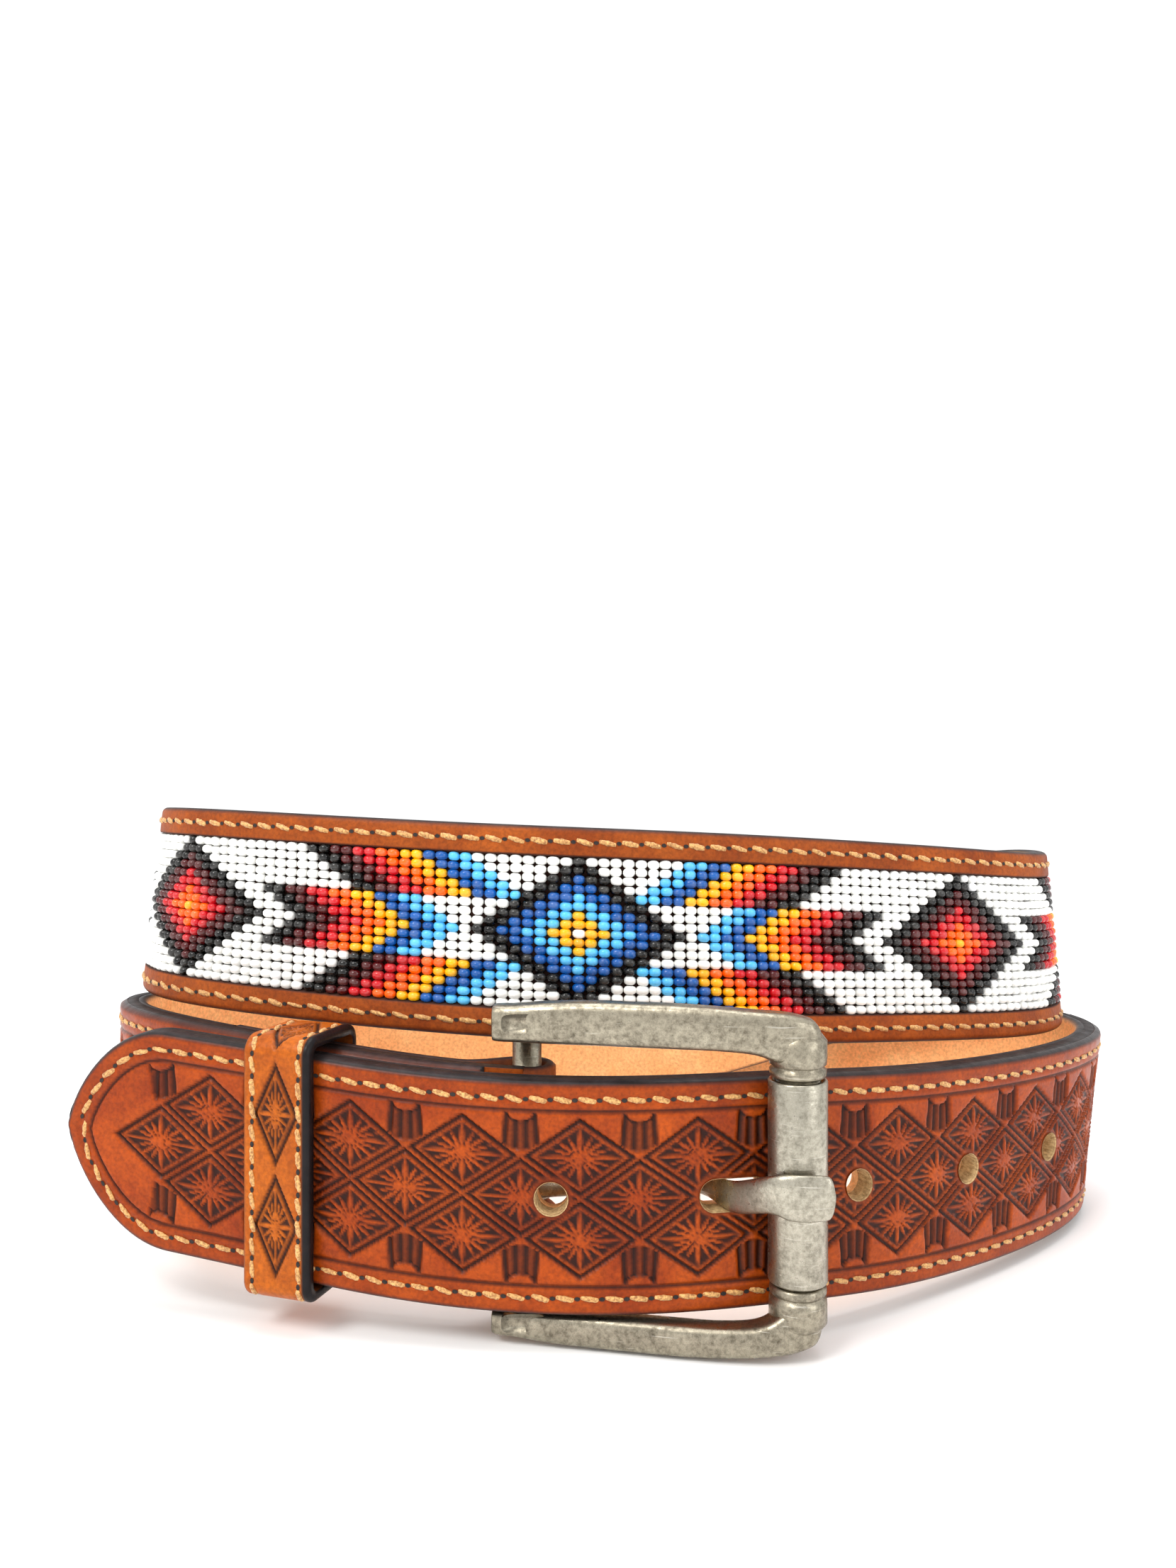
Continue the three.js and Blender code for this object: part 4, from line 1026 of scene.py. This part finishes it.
# Lug of the heel bar: inner face from the middle, half width, half height, share of the depth
LUG_AT, LUG_WIDE, LUG_HIGH, LUG_REACH = 22.95, 3.75, 1.6, 0.8
HEEL_BAR_HALF, FRONT_BAR_HALF = 24, 20  # Half lengths
# Prong: width, thickness, play on heel bar and roller, rise of its end above the middle
PRONG_WIDE, PRONG_THICK, PRONG_BORE, PRONG_RIDE, PRONG_RISE = 7.2, 2.0, 0.4, 0.6, 2.2


def section(sides, square):
    """A rounded square section; a lower power makes it squarer."""
    a = circle(sides)
    return (np.sign(c) * np.abs(c) ** square for c in (np.cos(a), np.sin(a)))


def rings_of(*columns):
    return np.stack(np.broadcast_arrays(*columns), -1)


def smooth_rows(rows, count):
    """Rows resampled by a curve that passes through each of them."""
    k = np.linspace(0, len(rows) - 1, count)
    i = np.clip(np.floor(k).astype(int), 0, len(rows) - 2)
    t = (k - i)[:, None]
    p0, p1 = rows[np.maximum(i - 1, 0)], rows[i]
    p2, p3 = rows[i + 1], rows[np.minimum(i + 2, len(rows) - 1)]
    return 0.5 * (2 * p1 + (p2 - p0) * t + (2 * p0 - 5 * p1 + 4 * p2 - p3) * t**2
                  + (3 * p1 - p0 - 3 * p2 + p3) * t**3)


def blunt(count, rows, least):
    """Shares of the full section that round off the first rows of count."""
    t = np.clip(np.arange(count) / rows, 0, 1)
    return np.sqrt(np.clip(1 - (1 - t) ** 2, least, 1))


def lathe(profile, centre, sides):
    """Rings round an upright axis, of radii and heights."""
    a = circle(sides)
    r, z = (column[:, None] for column in np.array(profile, float).T)
    return rings_of(centre[0] + r * np.cos(a), centre[1] + r * np.sin(a), z)


def bar(radius, half, centre, sides):
    low, high = MID - half, MID + half
    return lathe([(0.1, low), (radius, low), (radius, high), (0.1, high)], centre, sides)


def collect(name, parts):
    """Several ring arrays as one mesh object."""
    verts, quads, tris, start = [], [], [], 0
    for rings in parts:
        n, m = rings.shape[:2]
        q = grid_faces(n, m, wrap_cols=True)
        t = caps(n, m)
        p = rings.reshape(-1, 3)
        both = np.concatenate([q[:, :3], q[:, [0, 2, 3]], t])
        a, b, c = (p[both[:, k]] - p.mean(0) for k in range(3))
        if np.einsum("ij,ij->i", a, np.cross(b, c)).sum() < 0:
            q, t = q[:, ::-1], t[:, ::-1]
        verts.append(p)
        quads.append(q + start)
        tris.append(t + start)
        start += n * m
    return make(name, np.concatenate(verts), quads + tris)


def make_frame_piece():
    """Two arms with the necks and lugs that carry the bars, and both bars."""
    count, parts = 90, []
    cx, cy = section(28, 0.52)
    rows = smooth_rows(ARM, count)
    rows = rows[np.argsort(rows[:, 0])]
    ease = blunt(count, 3, 0.03) * blunt(count, 7, 0.03)[::-1]
    deep = (rows[:, 3] * ARM_DEPTH / 2 * ease)[:, None]
    x = heel_bar[0] + rows[:, 0] * HEEL_TO_FRONT
    y = heel_bar[1] + rows[:, 4] * (front_bar[1] - heel_bar[1])
    for sign in (1, -1):
        mid = (rows[:, 1] + rows[:, 2]) / 2 * MID
        half = (rows[:, 1] - rows[:, 2]) / 2 * MID
        if sign > 0:  # Only the upper arm has room to swell towards the strap
            swell = UPPER_SWELL * smoothstep(1.0, 0.88, rows[:, 0])
            mid, half = mid - swell / 2, half + swell / 2
        heights = MID + sign * (mid[:, None] + (half * ease)[:, None] * cy)
        parts.append(rings_of(x[:, None], y[:, None] + deep * cx, heights))
        top = 0.80 * MID
        low = ROLLER_LENGTH / 2 + 0.4
        neck = [(0.3, low), (NECK - 0.5, low), (NECK - 0.1, low + 0.25), (NECK, low + 0.7),
                (NECK, low + 1.3), (NECK - 0.45, low + 1.6), (NECK - 0.45, low + 1.9), (NECK, low + 2.2),
                (NECK + 0.1, low + 3.2), (NECK + 0.1, top), (NECK - 1.2, top + 1.6), (0.3, top + 2.0)]
        parts.append(lathe([(r, MID + sign * z) for r, z in neck], front_bar, 40))
        end = heel_bar[1] - LUG_REACH * (heel_bar[1] - front_bar[1])
        ys = np.linspace(heel_bar[1] + HEEL_BAR, end, 14)[:, None]
        shrink = blunt(14, 3, 0.25)[:, None]
        heights = MID + sign * (LUG_AT + LUG_HIGH + LUG_HIGH * cy * shrink)
        parts.append(rings_of(heel_bar[0] + LUG_WIDE * shrink * cx, ys, heights))
    parts += [bar(HEEL_BAR, HEEL_BAR_HALF, heel_bar, 28), bar(FRONT_BAR, FRONT_BAR_HALF, front_bar, 32)]
    return collect("cast_frame", parts)


def make_roller():
    half = ROLLER_LENGTH / 2
    profile = [(ROLLER - 0.8, -half), (ROLLER - 0.15, -half), (ROLLER, -half + 0.25),
               (ROLLER, half - 0.25), (ROLLER - 0.15, half), (ROLLER - 0.8, half), (ROLLER - 0.8, -half)]
    rings = lathe([(r, MID + z) for r, z in profile], front_bar, 64)
    return make("roller_tube", rings, [grid_faces(len(profile), 64, wrap_cols=True)])


def make_prong_piece():
    """The prong from its loop round the heel bar, through its hole and over the roller."""
    count, half_thick = 72, PRONG_THICK / 2
    bore = HEEL_BAR + PRONG_BORE
    ride = ROLLER + PRONG_RIDE + half_thick
    entry = spot(PRONG_AT - 0.05 * PRONG_STRETCH, 0.0, THICK)
    leave = spot(PRONG_AT - 0.45 * PRONG_STRETCH, 0.0, -0.8)
    root = np.array([heel_bar[0] + 0.4, heel_bar[1] - bore - half_thick, heel_bar[2]])
    shank = (root + entry) / 2
    shank[1:] = root[1:]
    neck = entry + np.array([-PRONG_WIDE / 2, 0.8 * PRONG_THICK, 0])
    rows = [(*root, 0.85), (*shank, 0.62), (*neck, 0.46), (*entry, 0.50), (*leave, 0.72)]
    for ax, fw, wide in ((-0.77, 0.74, 0.84), (-0.30, 0.98, 1.0), (0.35, 1.01, 1.0), (0.72, 0.93, 0.90)):
        rows.append((front_bar[0] + ax * ride, front_bar[1] - fw * ride, heel_bar[2] + PRONG_RISE, wide))
    rows = smooth_rows(np.array(rows, float), count)
    d = unit(np.gradient(rows[:, :2], axis=0))
    cx, cy = section(24, 0.62)
    ease = blunt(count, 5, 0.12)[::-1]
    off = (half_thick * (0.55 + 0.45 * ease))[:, None] * cy * (1 - 0.25 * np.abs(cx) ** 2)
    x, y, z, share = (column[:, None] for column in rows.T)
    ring = rings_of(x + d[:, 1:] * off, y - d[:, :1] * off, z + share * PRONG_WIDE / 2 * ease[:, None] * cx)
    far = bore + PRONG_THICK
    outer = [(bore, -3.3), (bore + 0.4, -3.6), (far - 0.4, -3.6), (far, -3.2),
             (far, 3.2), (far - 0.4, 3.6), (bore + 0.4, 3.6), (bore, 3.3), (bore, -3.3)]
    return collect("cast_prong", [ring, lathe([(r, heel_bar[2] + z) for r, z in outer], heel_bar, 36)])


finish_piece(make_frame_piece(), NICKEL, replaces=("buckle_frame",))
finish_piece(make_roller(), NICKEL_ROLLER, body="roller", replaces=("buckle_roller",))
finish_piece(make_prong_piece(), NICKEL_ROLLER, replaces=("buckle_prong",))

# Floor, light and camera

scene = bpy.context.scene
FLOOR_HALF, FLOOR_AT = 3, -0.0004
w = Web("pale floor")
pale = w.mix(w.noise(3, 3), (0.90, 0.90, 0.90, 1), (0.93, 0.93, 0.93, 1))
corners = [(FLOOR_HALF * x, FLOOR_HALF * y, FLOOR_AT) for x, y in ((-1, -1), (1, -1), (1, 1), (-1, 1))]
floor = make("floor", corners, [np.array([[0, 1, 2, 3]])], mm=False)
floor.data.materials.append(w.surface(Base_Color=pale, Roughness=0.9, Specular_IOR_Level=0.1))

# Lights: name, place, target, size, power, colour
LIGHTS = [
    ("key", (-0.45, -0.55, 0.75), (0, -0.03, 0.04), 0.35, 5.2, (1.0, 0.985, 0.96)),
    ("fill", (0.6, -0.5, 0.35), (0, -0.03, 0.04), 0.4, 1.2, (0.97, 0.985, 1.0)),
    ("top", (0.0, 0.05, 0.9), (0, 0, 0), 0.6, 3.8, (1, 1, 1)),
]
for name, where, target, size, power, colour in LIGHTS:
    data = bpy.data.lights.new(name, "AREA")
    data.shape = "RECTANGLE"
    data.size, data.size_y, data.energy, data.color = size, size, power, colour
    light = bpy.data.objects.new(name, data)
    light.location = where
    light.rotation_euler = (Vector(target) - Vector(where)).to_track_quat("-Z", "Y").to_euler()
    scene.collection.objects.link(light)
world = bpy.data.worlds.new("studio")
world.use_nodes = True
sky = world.node_tree.nodes["Background"]
sky.inputs[0].default_value = (1, 1, 1, 1)
sky.inputs[1].default_value = 1.12
scene.world = world

# The matched camera's focal length is given in pixels of the photo's height
FOCAL, PHOTO_HEIGHT, SENSOR = 1660, 2212, 36.0
cam_data = bpy.data.cameras.new("camera")
cam_data.sensor_width = SENSOR
cam_data.lens = SENSOR * FOCAL / PHOTO_HEIGHT
cam_data.clip_start, cam_data.clip_end = 0.01, 20
camera = bpy.data.objects.new("camera", cam_data)
camera.location = (-0.0082, -0.2515, 0.092)
camera.rotation_euler = (math.radians(90), 0, 0)
scene.collection.objects.link(camera)
scene.camera = camera
scene.view_settings.view_transform = "Standard"
